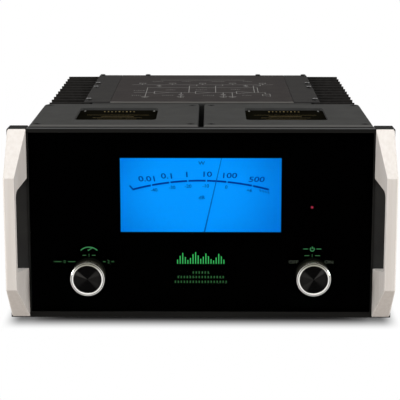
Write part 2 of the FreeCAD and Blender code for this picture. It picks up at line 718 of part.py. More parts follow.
def transformer_cover():
    """A folded steel cover with soft corners, open to the front panel, with a nameplate's window."""
    owner = body()
    plan = sketch(owner, "XY", "pan_high")
    soft_rectangle(plan, ("cover_inner", "cover_y"), ("pan_half", "cover_back_y"),
                   ("4", "4", "cover_corner", "4"))
    block = pad(owner, plan, "front_top - pan_high")
    rounded(owner, block, "1.6", lambda edge: near(edge.BoundBox.ZMin, "front_top"), "Chamfer")
    hollow = sketch(owner, "XY", "pan_high - 1")
    side_wall = "pan_half - cover_wall"
    back_wall = "cover_back_y - cover_wall"
    outline(hollow, [("cover_inner + cover_wall", "cover_y - 1"), (side_wall, "cover_y - 1"),
                     (side_wall, back_wall + " - cover_corner / 2"),
                     (side_wall + " - cover_corner / 2", back_wall),
                     ("cover_inner + cover_wall", back_wall)])
    pocket(owner, hollow, "front_top - cover_top - pan_high + 1")
    notch = sketch(owner, "YZ", "cover_inner - 1")
    rectangle(notch, ("cover_y - 1", "pan_high - 1"), ("glass_y + meter_depth + 1", "meter_high + 3"))
    pocket(owner, notch, "cover_wall + 2")
    window = sketch(owner, "XY", "front_top - cover_top - 1")
    soft_rectangle(window, ("name_inner", "name_front_y"), ("name_outer", "name_back_y"),
                   ("6", "6", "6", "6"))
    pocket(owner, window, "cover_top + 2")
    return owner


def transformer_covers():
    """Both covers with their screw holes, and the dark glass plates seated under their windows."""
    blank = transformer_cover()
    for name, side in SIDES:
        shell = blank if side > 0 else mirrored(blank)
        tools = []
        for x in ("screw_inner_x", "screw_outer_x"):
            for y in ("screw_front_y", "screw_back_y"):
                spot = ("%d * %s" % (side, x), y)
                tools.append(bar("Z", spot, "screw_head", "front_top - screw_sunk", "front_top + 1"))
                tools.append(bar("Z", spot, "screw_shank", "front_top - cover_top - 1", "front_top", 6))
        node(cut(shell, *tools), name + "_transformer_cover")
        ends = ["%d * (name_inner - name_margin)" % side, "%d * (name_outer + name_margin)" % side]
        plate = box(ends[::side], ("name_front_y - name_margin", "name_back_y + name_margin"),
                    ("front_top - cover_top - name_thick", "front_top - cover_top"))
        node(plate, name + "_nameplate")


def deck_hole(spot):
    return bar("Z", spot, "deck_screw_shank", "front_top - 1", "front_top + deck_thick + 1", 6)


def deck_screw(spot):
    """A screw whose head stands up from the deck."""
    head = bar("Z", spot, "deck_screw_head", "front_top + deck_thick", "front_top + deck_thick + 2.2", 10)
    return join(head, bar("Z", spot, "deck_screw_shank", "front_top", "front_top + deck_thick", 6))


def deck():
    """The top plate of the amplifier, the two rails beside it, and their raised screws."""
    across = ("deck_front_y", "deck_back_y")
    tall = ("front_top", "front_top + deck_thick")
    rows = ("deck_front_y + 16", "deck_front_y + 135", "deck_front_y + 175", "deck_back_y - 7")
    rails = []
    plate_spots = []
    screws = []
    for name, side in SIDES:
        spots = [("%d * deck_screw_x" % side, row) for row in rows]
        ends = ["%d * (deck_seam + seam_gap)" % side, "%d * sink_outer" % side]
        rails.append(cut(box(ends[::side], across, tall), *[deck_hole(spot) for spot in spots]))
        plate_spots.append(("%d * 80" % side, rows[-1]))
        screws.extend(deck_screw(spot) for spot in spots)
    plate = box(("-deck_seam", "deck_seam"), across, tall)
    node(cut(plate, *[deck_hole(spot) for spot in plate_spots]), "deck_plate")
    node(group(*rails), "deck_rails")
    screws.extend(deck_screw(spot) for spot in plate_spots)
    node(group(*screws), "deck_screws")


def heat_sink():
    """An extruded heat sink: a thick base with a row of tapered fins."""
    owner = body()
    base = sketch(owner, "XY", "sink_low")
    rectangle(base, ("sink_inner", "deck_front_y"), ("sink_outer", "panel_y"))
    pad(owner, base, "front_top - sink_low")
    fin = sketch(owner, "XY", "sink_low")
    outline(fin, [("sink_outer", "fin_first_y - fin_root_half"),
                  ("fin_tip - 1.2", "fin_first_y - fin_tip_half"),
                  ("fin_tip", "fin_first_y - fin_tip_half / 3"),
                  ("fin_tip", "fin_first_y + fin_tip_half / 3"),
                  ("fin_tip - 1.2", "fin_first_y + fin_tip_half"),
                  ("sink_outer", "fin_first_y + fin_root_half")])
    blade = pad(owner, fin, "front_top - sink_low")
    row_of(owner, blade, "Y", "fin_pitch * (fin_count - 1)", "fin_count")
    return owner


def heat_sinks():
    right = node(heat_sink(), "right_heat_sink")
    node(mirrored(right), "left_heat_sink")


# The works inside.

def transformer(name, side):
    """A laminated core of E and I shape, and the winding on its middle leg."""
    middle = "%d * core_x" % side
    low = "foot_height + pan_wall"
    half_deep = "core_deep / 2"
    stack = box((middle + " - core_wide / 2", middle + " + core_wide / 2"),
                ("core_y - " + half_deep, "core_y + " + half_deep), (low, low + " + core_wide * 5 / 6"))
    gaps = []
    coils = []
    for turn in (-1, 1):
        centre = "(%s + %d * core_wide / 4)" % (middle, turn)
        gaps.append(box((centre + " - core_wide / 12", centre + " + core_wide / 12"),
                        ("core_y - core_deep", "core_y + core_deep"),
                        (low + " + core_wide / 6", low + " + core_wide * 4 / 6")))
    coil = box((middle + " - core_wide / 3", middle + " + core_wide / 3"),
               ("core_y - core_deep / 2 - core_wide / 6", "core_y + core_deep / 2 + core_wide / 6"),
               (low + " + core_wide / 6", low + " + core_wide * 4 / 6"))
    leg = box((middle + " - core_wide / 6", middle + " + core_wide / 6"),
              ("core_y - " + half_deep, "core_y + " + half_deep), (low, low + " + core_wide"))
    node(cut(stack, *gaps), name + "_core")
    node(cut(coil, leg), name + "_winding")


def filter_capacitors():
    """Four large cans that stand on the tray behind the bulkhead, each with two screw terminals."""
    cans = []
    low = "foot_height + pan_wall"
    for x in (-1, 1):
        for y in (0, 1):
            spot = ("%d * can_x" % x, "can_y + %d * can_pitch" % y)
            can = bar("Z", spot, "can_radius", low, low + " + can_tall", 18)
            posts = [bar("Z", (spot[0] + " + %d * 13" % turn, spot[1]), "5", low + " + can_tall",
                         low + " + can_tall + 6", 6) for turn in (-1, 1)]
            cans.append(join(can, *posts))
    node(group(*cans), "filter_capacitors")


def amplifier_boards():
    """The two upright circuit boards, and the output transistors between them and the heat sinks."""
    boards = []
    packages = []
    for name, side in SIDES:
        inner = "%d * (sink_inner - package_thick)" % side
        outer = "%d * sink_inner" % side
        board_face = "%d * (sink_inner - package_thick - board_thick)" % side
        boards.append(box([board_face, inner][::side], ("board_front_y", "board_back_y"), ("64", "200")))
        for number in range(8):
            start = "board_front_y + 10 + %d * package_pitch" % number
            packages.append(box([inner, outer][::side], (start, start + " + 20"), ("112", "138")))
    node(group(*boards), "amplifier_boards")
    node(group(*packages), "output_transistors")


def input_board():
    """The circuit board that the signal sockets are soldered to."""
    back = "panel_y + plate - jack_depth"
    node(box(("34", "132"), (back + " - board_thick", back), ("96", "212")), "input_board")


# The rear connectors.

def post_spots():
    return [("post_first_x + %d * post_pitch" % number, "post_z") for number in range(4)]


def phono_spots():
    return [("phono_x", "xlr_z"), ("phono_x", "xlr_z - 30")]


def control_spots():
    return [("control_x + %d * 20" % number, "control_z") for number in range(4)]


def speaker_posts():
    """Four gold-plated posts, the moulded block that holds them, and the hexagonal caps on them."""
    posts = []
    holes = []
    for number, spot in enumerate(post_spots(), start=1):
        shaft = bar("Y", spot, "post_thread", "panel_y - 14", "deck_back_y + 27.6", 16)
        collar = bar("Y", spot, "9", "deck_back_y + block_edge", "deck_back_y + 10")
        posts.append(join(shaft, collar))
        holes.append(bar("Y", spot, "post_thread", "panel_y - 10", "deck_back_y + 20", 16))
        speaker_cap(number, spot)
    node(group(*posts), "speaker_posts")
    ends = ("post_first_x", "post_first_x + 3 * post_pitch")
    seat = box((ends[0] + " - block_seat", ends[1] + " + block_seat"), ("panel_y - 3", "deck_back_y"),
               ("post_z - block_seat", "post_z + block_seat"))
    face = box((ends[0] + " - block_seat - 4", ends[1] + " + block_seat + 4"),
               ("deck_back_y", "deck_back_y + block_edge"),
               ("post_z - block_seat - 4", "post_z + block_seat + 4"))
    node(cut(join(seat, face), *holes), "terminal_block")


def speaker_cap(number, spot):
    """A hexagonal cap with chamfered ends and a blind bore that clears the post."""
    owner = body()
    hexagon = sketch(owner, "XZ")
    polygon(hexagon, ("0", "0"), "11", 6)
    blank = pad(owner, hexagon, "cap_length")
    rounded(owner, blank, "1.4", lambda edge: not lies_along(edge, "Y"), "Chamfer")
    bore = sketch(owner, "XZ", "-1")
    polygon(bore, ("0", "0"), round_it("post_thread + 0.05", 16), 16)
    pocket(owner, bore, "cap_length - 2")
    place(owner, spot[0], "deck_back_y + 11", spot[1])
    node(owner, "speaker_cap_%d" % number)


def xlr_input():
    """A three-hole balanced socket with its sprung latch tab in a slot at the top."""
    face = "deck_back_y"
    centre = ("xlr_x", "xlr_z")
    flange = box(("xlr_x - 13", "xlr_x + 13"), (face, face + " + 2"), ("xlr_z - 15.5", "xlr_z + 15.5"))
    barrel = bar("Y", centre, "xlr_barrel", face + " - jack_depth", face, 20)
    gap = cut(bar("Y", centre, "9.6", face + " - 14", face + " + 3", 20),
              bar("Y", centre, "7.4", face + " - 15", face + " + 4", 20))
    contacts = [bar("Y", ("xlr_x + %s" % x, "xlr_z + %s" % z), "1.35", face + " - 12", face + " + 3", 8)
                for x, z in (("-3.8", "2"), ("3.8", "2"), ("0", "-4"))]
    slot = box(("xlr_x - 3.4", "xlr_x + 3.4"), (face + " - 8", face + " + 3"),
               ("xlr_z + 8.4", "xlr_z + 14.6"))
    node(cut(join(flange, barrel), gap, slot, *contacts), "xlr_input")
    hook = box(("xlr_x - 3", "xlr_x + 3"), (face + " - 7.6", face), ("xlr_z + 10.2", "xlr_z + 11.4"))
    tab = box(("xlr_x - 3", "xlr_x + 3"), (face, face + " + 4.4"), ("xlr_z + 10.2", "xlr_z + 14.2"))
    node(join(hook, tab), "xlr_latch")


def phono_jacks():
    """Two single-ended sockets: a gold barrel on a hexagonal base, with a hole for the plug's pin."""
    jacks = []
    for spot in phono_spots():
        barrel = bar("Y", spot, "4.15", "deck_back_y + 2", "deck_back_y + 11", 20)
        base = bar("Y", spot, "7", "deck_back_y", "deck_back_y + 2", 6)
        back = bar("Y", spot, "phono_back", "deck_back_y - jack_depth", "deck_back_y", 8)
        pin_hole = bar("Y", spot, "1.65", "deck_back_y - 10", "deck_back_y + 12")
        jacks.append(cut(join(barrel, base, back), pin_hole))
    node(group(*jacks), "phono_jacks")


def control_jacks():
    """Four small sockets for the power and meter control cables."""
    jacks = []
    for spot in control_spots():
        nut = bar("Y", spot, "5", "deck_back_y", "deck_back_y + 2")
        neck = bar("Y", spot, "control_neck", "deck_back_y - jack_depth", "deck_back_y", 8)
        hole = bar("Y", spot, "1.85", "deck_back_y - 13", "deck_back_y + 3", 10)
        jacks.append(cut(join(nut, neck), hole))
    node(group(*jacks), "control_jacks")


def mains_inlet():
    """A three-pin mains inlet with a flange, a cut-off corner socket and flat pins."""
    face = "deck_back_y"
    owner = body()
    plate = sketch(owner, "XZ", face)
    rectangle(plate, ("inlet_x - 25", "inlet_z - 14"), ("inlet_x + 25", "inlet_z + 14"))
    flange = pad(owner, plate, "3")
    rounded(owner, flange, "7", lambda edge: lies_along(edge, "Y"))
    shell = sketch(owner, "XZ", face + " - 19")
    rectangle(shell, ("inlet_x - inlet_half", "inlet_z - inlet_tall"),
              ("inlet_x + inlet_half", "inlet_z + inlet_tall"))
    pad(owner, shell, "19")
    cavity = sketch(owner, "XZ", face + " - 14")
    outline(cavity, [("inlet_x - 12", "inlet_z - 8"), ("inlet_x + 12", "inlet_z - 8"),
                     ("inlet_x + 12", "inlet_z + 3"), ("inlet_x + 7", "inlet_z + 8"),
                     ("inlet_x - 7", "inlet_z + 8"), ("inlet_x - 12", "inlet_z + 3")])
    pocket(owner, cavity, "18")
    for x, z in (("-7", "-2"), ("0", "2"), ("7", "-2")):
        pin = sketch(owner, "XZ", face + " - 14")
        rectangle(pin, ("inlet_x + %s - 1" % x, "inlet_z + %s - 2" % z),
                  ("inlet_x + %s + 1" % x, "inlet_z + %s + 2" % z))
        pad(owner, pin, "11")
    node(owner, "mains_inlet")


def input_switch():
    """A slide switch that picks the balanced or the single-ended input."""
    face = "deck_back_y"
    plate = box(("mode_x - 6.5", "mode_x + 6.5"), (face, face + " + 1.2"), ("mode_z - 11", "mode_z + 11"))
    block = box(("mode_x - mode_half", "mode_x + mode_half"), (face + " - 13", face),
                ("mode_z - mode_tall", "mode_z + mode_tall"))
    track = box(("mode_x - 2.3", "mode_x + 2.3"), (face + " - 8", face + " + 2"),
                ("mode_z - 5.8", "mode_z + 5.8"))
    node(cut(join(plate, block), track), "input_switch")
    lever = box(("mode_x - 2", "mode_x + 2"), (face + " - 7.6", face + " + 6"),
                ("mode_z - 5.5", "mode_z - 0.5"))
    node(lever, "input_switch_lever")


# Build everything, check it, and write one file for each piece.

def build():
    front_frame()
    glazed_sheet("front_glass", "glass_y", "glass_thick", False, False)
    glazed_sheet("front_mask", "glass_y + glass_thick", "mask_thick", True, True)
    front_subpanel()
    handles()
    meter_housing()
    meter_dial()
    meter_magnet()
    meter_bridges()
    meter_needle()
    moving_coil()
    meter_hairspring()
    rotary_switches()
    status_led()
    for name, side in SIDES:
        knob(side, name)
    chassis_pan()
    centre_bulkhead()
    rear_panel()
    case_screws()
    cover_standoffs()
    feet()
    transformer_covers()
    deck()
    heat_sinks()
    transformer("power_transformer", 1)
    transformer("output_transformer", -1)
    filter_capacitors()
    amplifier_boards()
    input_board()
    speaker_posts()
    xlr_input()
    phono_jacks()
    control_jacks()
    mains_inlet()
    input_switch()


def check():
    """Stop if a feature failed, a cut took nothing away, or a piece isn't whole."""
    faults = []
    for thing in doc.Objects:
        if {"Invalid", "Error"} & set(thing.State):
            faults.append("%s (%s) failed" % (thing.Name, thing.Label))
        elif thing.isDerivedFrom("PartDesign::Pocket"):
            if thing.Shape.Volume > thing.BaseFeature.Shape.Volume - 0.01:
                faults.append("%s cuts nothing" % thing.Name)
    for piece in NODES:
        if piece.Shape.isNull() or not piece.Shape.isValid() or not piece.Shape.Solids:
            faults.append("%s has no sound shape" % piece.Label)
    if faults:
        raise RuntimeError("; ".join(faults))


build()
doc.recompute()
check()
os.makedirs("parts", exist_ok=True)
for piece in NODES:
    piece.Shape.exportStep("parts/%s.step" % piece.Label)
    solids = piece.Shape.Solids
    print("%-24s %2d solid(s) %10.0f mm3" % (piece.Label, len(solids), piece.Shape.Volume))
print("pieces:", len(NODES))
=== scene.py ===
# %% [markdown]
# # A monoblock power amplifier
#
# The real object is one channel of a very large audio amplifier: a black glass front with a lit
# needle meter and two fluted knobs, faceted aluminium handles at both ends, two transformer covers
# behind the glass, and a deck between finned heat sinks.
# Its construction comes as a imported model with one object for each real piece. This lesson keeps
# those pieces where they are, gives them softer edges and real finishes, and adds what is too fine
# for the construction: prints, knob rings and screw heads.
# Blender works in metres here. The glass faces -Y, +Z is up, and the ground is at zero.

# %% Load the construction
import math

import bmesh
import bpy
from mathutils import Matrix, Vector


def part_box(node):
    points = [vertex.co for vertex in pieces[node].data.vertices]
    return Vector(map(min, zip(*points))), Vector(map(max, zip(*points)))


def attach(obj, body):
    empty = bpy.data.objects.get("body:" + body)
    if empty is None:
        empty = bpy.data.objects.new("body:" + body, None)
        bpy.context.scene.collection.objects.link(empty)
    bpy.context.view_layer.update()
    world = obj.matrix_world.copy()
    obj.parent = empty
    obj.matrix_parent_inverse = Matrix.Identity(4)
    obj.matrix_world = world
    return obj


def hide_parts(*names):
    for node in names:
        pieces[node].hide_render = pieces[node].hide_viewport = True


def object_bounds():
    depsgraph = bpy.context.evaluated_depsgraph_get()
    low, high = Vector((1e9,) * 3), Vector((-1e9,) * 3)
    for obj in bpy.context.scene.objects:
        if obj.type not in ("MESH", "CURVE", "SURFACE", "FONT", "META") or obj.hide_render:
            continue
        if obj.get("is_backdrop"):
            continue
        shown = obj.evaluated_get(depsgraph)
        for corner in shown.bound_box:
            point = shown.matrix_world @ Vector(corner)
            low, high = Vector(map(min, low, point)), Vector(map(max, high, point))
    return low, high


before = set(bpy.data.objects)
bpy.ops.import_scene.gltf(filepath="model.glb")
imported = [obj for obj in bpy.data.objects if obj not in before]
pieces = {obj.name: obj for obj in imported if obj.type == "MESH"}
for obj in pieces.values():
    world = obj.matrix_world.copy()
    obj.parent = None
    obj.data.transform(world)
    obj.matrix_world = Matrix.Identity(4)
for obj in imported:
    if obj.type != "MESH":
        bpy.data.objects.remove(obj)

MM = 0.001
cad_low, cad_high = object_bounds()
print("pieces:", len(pieces), " size in mm:", [round(side / MM, 1) for side in cad_high - cad_low])

# %% [markdown]
# ## Places to build on
#
# A print or a screw head has to lie on the surface that carries it. Those surfaces could be typed
# in as numbers, but then a change to the construction would leave the prints in the air. Measuring
# the pieces keeps the two together.

# %% Measure the surfaces that carry the added pieces
mask_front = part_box("front_mask")[0].y
dial_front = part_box("meter_dial")[0].y
plate_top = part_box("left_nameplate")[1].z
deck_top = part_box("deck_plate")[1].z
panel_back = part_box("rear_panel")[1].y
print("mask at y %.4f, dial at y %.4f, deck at z %.4f" % (mask_front, dial_front, deck_top))

# %% [markdown]
# ## Camera
#
# The picture is taken from slightly above with a long lens, so the sides of the front hardly lean
# together. A focal length could be guessed by eye. Here it was solved from the converging edges of
# the front and the top, which gives the lens, the tilt and the distance together.

# %% Set up the camera
FOCAL_LENGTH = 130.5
SENSOR_WIDTH = 36.0
SIDE_SHIFT = -0.00175
CAMERA_PLACE = (0.0114, -1.8693, 0.5036)
TILT_DOWN = 12.03
TURN = 0.4

lens = bpy.data.cameras.new("camera")
lens.lens = FOCAL_LENGTH
lens.sensor_width = SENSOR_WIDTH
lens.shift_x = SIDE_SHIFT
camera = bpy.data.objects.new("camera", lens)
camera.location = CAMERA_PLACE
camera.rotation_euler = (math.radians(90.0 - TILT_DOWN), 0.0, math.radians(TURN))
bpy.context.scene.collection.objects.link(camera)
bpy.context.scene.camera = camera
print("camera", [round(place, 3) for place in camera.location], "lens", lens.lens)

# %% [markdown]
# ## Small helpers for materials
#
# Colours are easiest to read off a screen, as three numbers up to 255. Blender works in amounts of
# light instead, which rise much faster than those numbers, so one helper translates them.

# %% Screen colours
def screen(red, green, blue):
    """A colour from its screen numbers, 0 to 255, as the light amounts that Blender works in."""
    def light(number):
        share = number / 255
        return share / 12.92 if share <= 0.04045 else ((share + 0.055) / 1.055) ** 2.4
    return light(red), light(green), light(blue), 1.0


print("a dark grey in light amounts:", [round(part, 4) for part in screen(68, 68, 66)])

# %% [markdown]
# A material is a graph of nodes. Wiring each one by hand takes many lines, so a few helpers do the
# repeated work: one adds a node, one gives a socket either a plain value or what another socket
# puts out, and the rest are steps of arithmetic, fades and mixes.

# %% Nodes, arithmetic and mixes
def feed(tree, socket, source):
    """Give a socket a plain value, or join it to what another socket puts out."""
    if isinstance(source, bpy.types.NodeSocket):
        tree.links.new(source, socket)
    else:
        socket.default_value = source


def add_node(tree, kind, *sources, **settings):
    """Add a shader node, set it up, and feed its first sockets in order."""
    node = tree.nodes.new("ShaderNode" + kind)
    for name, setting in settings.items():
        setattr(node, name, setting)
    for socket, source in zip(node.inputs, sources):
        feed(tree, socket, source)
    return node


def calc(tree, operation, *sources):
    """One step of arithmetic on numbers."""
    return add_node(tree, "Math", *sources, operation=operation).outputs[0]


def calc_vector(tree, operation, *sources):
    """One step of arithmetic on places or directions."""
    node = add_node(tree, "VectorMath", *sources, operation=operation)
    return node.outputs["Value" if operation in ("LENGTH", "DOT_PRODUCT") else "Vector"]


def fade(tree, number, start, end):
    """0 before the start, 1 after the end, and an even rise between them."""
    node = add_node(tree, "MapRange", number, start, end, 0.0, 1.0, interpolation_type="SMOOTHSTEP")
    return node.outputs["Result"]


def mixed(tree, share, first, second):
    """A mix of two colours. The node has sockets for each kind of value; 6 and 7 are its colours."""
    node = add_node(tree, "Mix", data_type="RGBA")
    for number, source in ((0, share), (6, first), (7, second)):
        feed(tree, node.inputs[number], source)
    return node.outputs[2]


# %% [markdown]
# ## Shared effects
#
# Fine grain, drawn lines, lathe marks, worn edges and settled dust show on many finishes of such an
# amplifier. Each could be rebuilt inside every material. A node group with named inputs is built
# once and placed with its own values instead. A group here gives out only masks and heights, and
# the shader itself stays in the material.

# %% A new effect, and its use in a material
def new_effect(name, inputs, outputs):
    """An empty effect with named sockets: numbers, and vectors where three numbers are given."""
    effect = bpy.data.node_groups.new(name, "ShaderNodeTree")
    for label, start in inputs.items():
        kind = "NodeSocketVector" if isinstance(start, tuple) else "NodeSocketFloat"
        socket = effect.interface.new_socket(label, in_out="INPUT", socket_type=kind)
        socket.default_value = start
    for label in outputs:
        effect.interface.new_socket(label, in_out="OUTPUT", socket_type="NodeSocketFloat")
    return effect, effect.nodes.new("NodeGroupInput").outputs, effect.nodes.new("NodeGroupOutput").inputs


def use(tree, effect, **values):
    """Place an effect in a material. A value's name is the input's name in small letters."""
    node = tree.nodes.new("ShaderNodeGroup")
    node.node_tree = effect
    for socket in node.inputs:
        if socket.name.lower() in values:
            feed(tree, socket, values[socket.name.lower()])
    return node.outputs


def place_on_piece(tree):
    """The place on the piece itself, which travels with the piece when it moves."""
    return add_node(tree, "TexCoord").outputs["Object"]


def noise(tree, place, detail):
    """Uneven values between 0 and 1, about one cell to each unit of the place."""
    node = add_node(tree, "TexNoise")
    feed(tree, node.inputs["Vector"], place)
    node.inputs["Scale"].default_value = 1.0
    node.inputs["Detail"].default_value = detail
    return node.outputs[0]


def slow_tone(tree, place, share, detail=3.0):
    """A slow drift between 0 and 1, on a small share of the scale that the place is given in."""
    broad = calc_vector(tree, "MULTIPLY", place, (share, share, share))
    return fade(tree, noise(tree, broad, detail), 0.3, 0.7)


# %% [markdown]
# ### Fine grain
#
# Powder coat, cast surfaces and moulded plastic have a fine irregular skin, and slow changes of tone
# over it. One noise at the grain's size gives the skin, and one forty times as broad gives the tone.

# %% Fine grain
def build_fine_grain():
    effect, given, result = new_effect("fine_grain", {"Size": 1.0 * MM}, ("Tone", "Height"))
    cells = calc_vector(effect, "DIVIDE", place_on_piece(effect), given["Size"])
    feed(effect, result["Height"], noise(effect, cells, 3.0))
    feed(effect, result["Tone"], slow_tone(effect, cells, 0.025))
    return effect


fine_grain = build_fine_grain()
print("effect:", fine_grain.name)

# %% [markdown]
# ### Drawn lines
#
# Brushed and extruded metal has long fine lines along one direction. Noise that is squeezed
# across the lines and stretched along them gives that look without drawing each line.

# %% Drawn lines
def build_drawn_lines():
    effect, given, result = new_effect(
        "drawn_lines", {"Size": 0.5 * MM, "Along": (1.0, 0.0, 0.0)}, ("Tone", "Height"))
    cells = calc_vector(effect, "DIVIDE", place_on_piece(effect), given["Size"])
    kept = calc_vector(effect, "MULTIPLY", given["Along"], (0.98, 0.98, 0.98))
    squeeze = calc_vector(effect, "SUBTRACT", (1.0, 1.0, 1.0), kept)
    lines = calc_vector(effect, "MULTIPLY", cells, squeeze)
    feed(effect, result["Height"], noise(effect, lines, 4.0))
    feed(effect, result["Tone"], slow_tone(effect, lines, 0.1, 4.0))
    return effect


drawn_lines = build_drawn_lines()
print("effect:", drawn_lines.name)

# %% [markdown]
# ### Lathe marks
#
# A face turned on a lathe carries fine circles round its axis. The distance from that axis, put
# through noise, gives circles of uneven strength, which a plain wave pattern wouldn't.

# %% Lathe marks
def build_lathe_marks():
    effect, given, result = new_effect(
        "lathe_marks", {"Size": 0.3 * MM, "Centre": (0.0, 0.0, 0.0), "Axis": (0.0, 1.0, 0.0)},
        ("Tone", "Height", "Reach"))
    offset = calc_vector(effect, "SUBTRACT", place_on_piece(effect), given["Centre"])
    depth = calc_vector(effect, "DOT_PRODUCT", offset, given["Axis"])
    along = add_node(effect, "VectorMath", operation="SCALE")
    feed(effect, along.inputs[0], given["Axis"])
    feed(effect, along.inputs["Scale"], depth)
    reach = calc_vector(effect, "LENGTH", calc_vector(effect, "SUBTRACT", offset, along.outputs["Vector"]))
    feed(effect, result["Reach"], reach)
    circles = calc(effect, "DIVIDE", reach, given["Size"])
    row = add_node(effect, "CombineXYZ", circles).outputs["Vector"]
    feed(effect, result["Height"], noise(effect, row, 3.0))
    feed(effect, result["Tone"], slow_tone(effect, row, 0.15))
    return effect


lathe_marks = build_lathe_marks()
print("effect:", lathe_marks.name)

# %% [markdown]
# ### Even layers
#
# Transformer iron is a pack of thin sheets, and a coil is row on row of wire. Both are stripes of
# one width across one direction, so a sine of the place along that direction serves for both.

# %% Even layers
def build_even_layers():
    effect, given, result = new_effect(
        "even_layers", {"Size": 1.0 * MM, "Across": (0.0, 0.0, 1.0)}, ("Tone", "Height"))
    reach = calc_vector(effect, "DOT_PRODUCT", place_on_piece(effect), given["Across"])
    turns = calc(effect, "MULTIPLY", calc(effect, "DIVIDE", reach, given["Size"]), 2 * math.pi)
    wave = calc(effect, "SINE", turns)
    feed(effect, result["Height"], calc(effect, "MULTIPLY_ADD", wave, 0.5, 0.5))
    rows = calc_vector(effect, "DIVIDE", place_on_piece(effect), given["Size"])
    feed(effect, result["Tone"], slow_tone(effect, rows, 0.08))
    return effect


even_layers = build_even_layers()
print("effect:", even_layers.name)

# %% [markdown]
# ### Worn edges
#
# Paint and anodising get thin on sharp edges. Where the surface normal differs from the normal of
# the same surface with a small round on it, there is an edge. Noise breaks the mask up, because
# real wear is patchy.

# %% Worn edges
WEAR_PATCH = 4.0 * MM


def build_worn_edges():
    effect, given, result = new_effect("worn_edges", {"Width": 0.6 * MM, "Amount": 0.5}, ("Mask",))
    rounded = add_node(effect, "Bevel", samples=4)
    feed(effect, rounded.inputs["Radius"], given["Width"])
    flat = add_node(effect, "NewGeometry").outputs["Normal"]
    likeness = calc_vector(effect, "DOT_PRODUCT", rounded.outputs["Normal"], flat)
    edge = fade(effect, calc(effect, "SUBTRACT", 1.0, likeness), 0.02, 0.2)
    cells = calc_vector(effect, "DIVIDE", place_on_piece(effect), (WEAR_PATCH, WEAR_PATCH, WEAR_PATCH))
    patches = fade(effect, noise(effect, cells, 5.0), 0.45, 0.75)
    mask = calc(effect, "MULTIPLY", calc(effect, "MULTIPLY", edge, patches), given["Amount"])
    feed(effect, result["Mask"], mask)
    return effect


worn_edges = build_worn_edges()
print("effect:", worn_edges.name)

# %% [markdown]
# ### Settled dust
#
# Dust lies on faces that look up, a little more in some places than in others. The upward part of
# the normal picks the faces, and broad noise varies the amount.

# %% Settled dust
DUST_PATCH = 30.0 * MM


def build_settled_dust():
    effect, given, result = new_effect("settled_dust", {"Amount": 0.3}, ("Mask",))
    normal = add_node(effect, "NewGeometry").outputs["Normal"]
    upward = add_node(effect, "SeparateXYZ", normal).outputs["Z"]
    cells = calc_vector(effect, "DIVIDE", place_on_piece(effect), (DUST_PATCH, DUST_PATCH, DUST_PATCH))
    patches = calc(effect, "MULTIPLY_ADD", noise(effect, cells, 6.0), 0.8, 0.3)
    lying = calc(effect, "MULTIPLY", fade(effect, upward, 0.6, 1.0), patches)
    feed(effect, result["Mask"], calc(effect, "MULTIPLY", lying, given["Amount"]))
    return effect


settled_dust = build_settled_dust()
print("effect:", settled_dust.name)

# %% [markdown]
# ## Finishes
#
# Every finish starts as one shader with plain numbers. What is the same all over a piece, such as
# how metallic it is, is set on that shader and stays there. What changes over the surface is then
# joined to it: here the relief, which bends the light without moving the surface.

# %% A plain finish, and relief on it
def new_finish(name, colour, roughness, metallic=0.0, refraction=1.45):
    finish = bpy.data.materials.new(name)
    finish.use_nodes = True
    shader = finish.node_tree.nodes["Principled BSDF"]
    shader.inputs["Base Color"].default_value = screen(*colour)
    shader.inputs["Roughness"].default_value = roughness
    shader.inputs["Metallic"].default_value = metallic
    shader.inputs["IOR"].default_value = refraction
    return finish, finish.node_tree, shader


def relief(tree, shader, height, depth):
    """Raise the surface by a height between 0 and 1, times a depth in mm."""
    bump = add_node(tree, "Bump")
    bump.inputs["Distance"].default_value = depth * MM
    feed(tree, bump.inputs["Height"], height)
    feed(tree, shader.inputs["Normal"], bump.outputs["Normal"])


# %% [markdown]
# Most finishes differ only in numbers: two near colours, a texture with its size and depth, the
# gloss, and how much wear and dust they carry. Each could be wired by hand, but one function builds
# them all, so that they stay alike where they should. The special ones follow on their own.

# %% A finish from its numbers
BARE_METAL = screen(150, 148, 142)
DUST = screen(150, 146, 138)
GLOSS_DRIFT = 0.08


def textured(name, first, second, roughness, effect, size, depth, metallic=0.0, refraction=1.45,
             wear=0.0, dust=0.0, **values):
    """A finish of two near screen colours with a textured skin, and with worn edges and dust if
    wanted. The size and the depth of the skin are in mm."""
    finish, tree, shader = new_finish(name, first, roughness, metallic, refraction)
    skin = use(tree, effect, size=size * MM, **values)
    colour = mixed(tree, skin["Tone"], screen(*first), screen(*second))
    gloss = calc(tree, "MULTIPLY_ADD", skin["Tone"], GLOSS_DRIFT, roughness - GLOSS_DRIFT / 2)
    if wear:
        worn = use(tree, worn_edges, amount=wear)["Mask"]
        colour = mixed(tree, worn, colour, BARE_METAL)
    if dust:
        lying = use(tree, settled_dust, amount=dust)["Mask"]
        colour = mixed(tree, lying, colour, DUST)
        gloss = calc(tree, "ADD", gloss, calc(tree, "MULTIPLY", lying, 0.5))
    feed(tree, shader.inputs["Base Color"], colour)
    feed(tree, shader.inputs["Roughness"], gloss)
    relief(tree, shader, skin["Height"], depth)
    return finish


def dress(finish, *names):
    """Give construction pieces a finish."""
    for name in names:
        for slot in pieces[name].material_slots:
            slot.material = finish
    print(finish.name, "on", ", ".join(names))


# %% [markdown]
# ## The case
#
# The covers, the deck, the tray and the blocks behind the handles are steel and aluminium with a
# fine black powder coat. It is matt, a shade lighter where dust lies on top, and has only a few thin
# spots on its edges, because such an amplifier is hardly ever moved. Each sheet is a little
# different in tone, so the coat is a function, and each piece gets its own two colours.

# %% Powder coat
def powder_coat(name, first, second, size=0.6, refraction=1.02, dust=0.02):
    return textured(name, first, second, 0.6, fine_grain, size, 0.03, refraction=refraction, wear=0.2,
                    dust=dust)


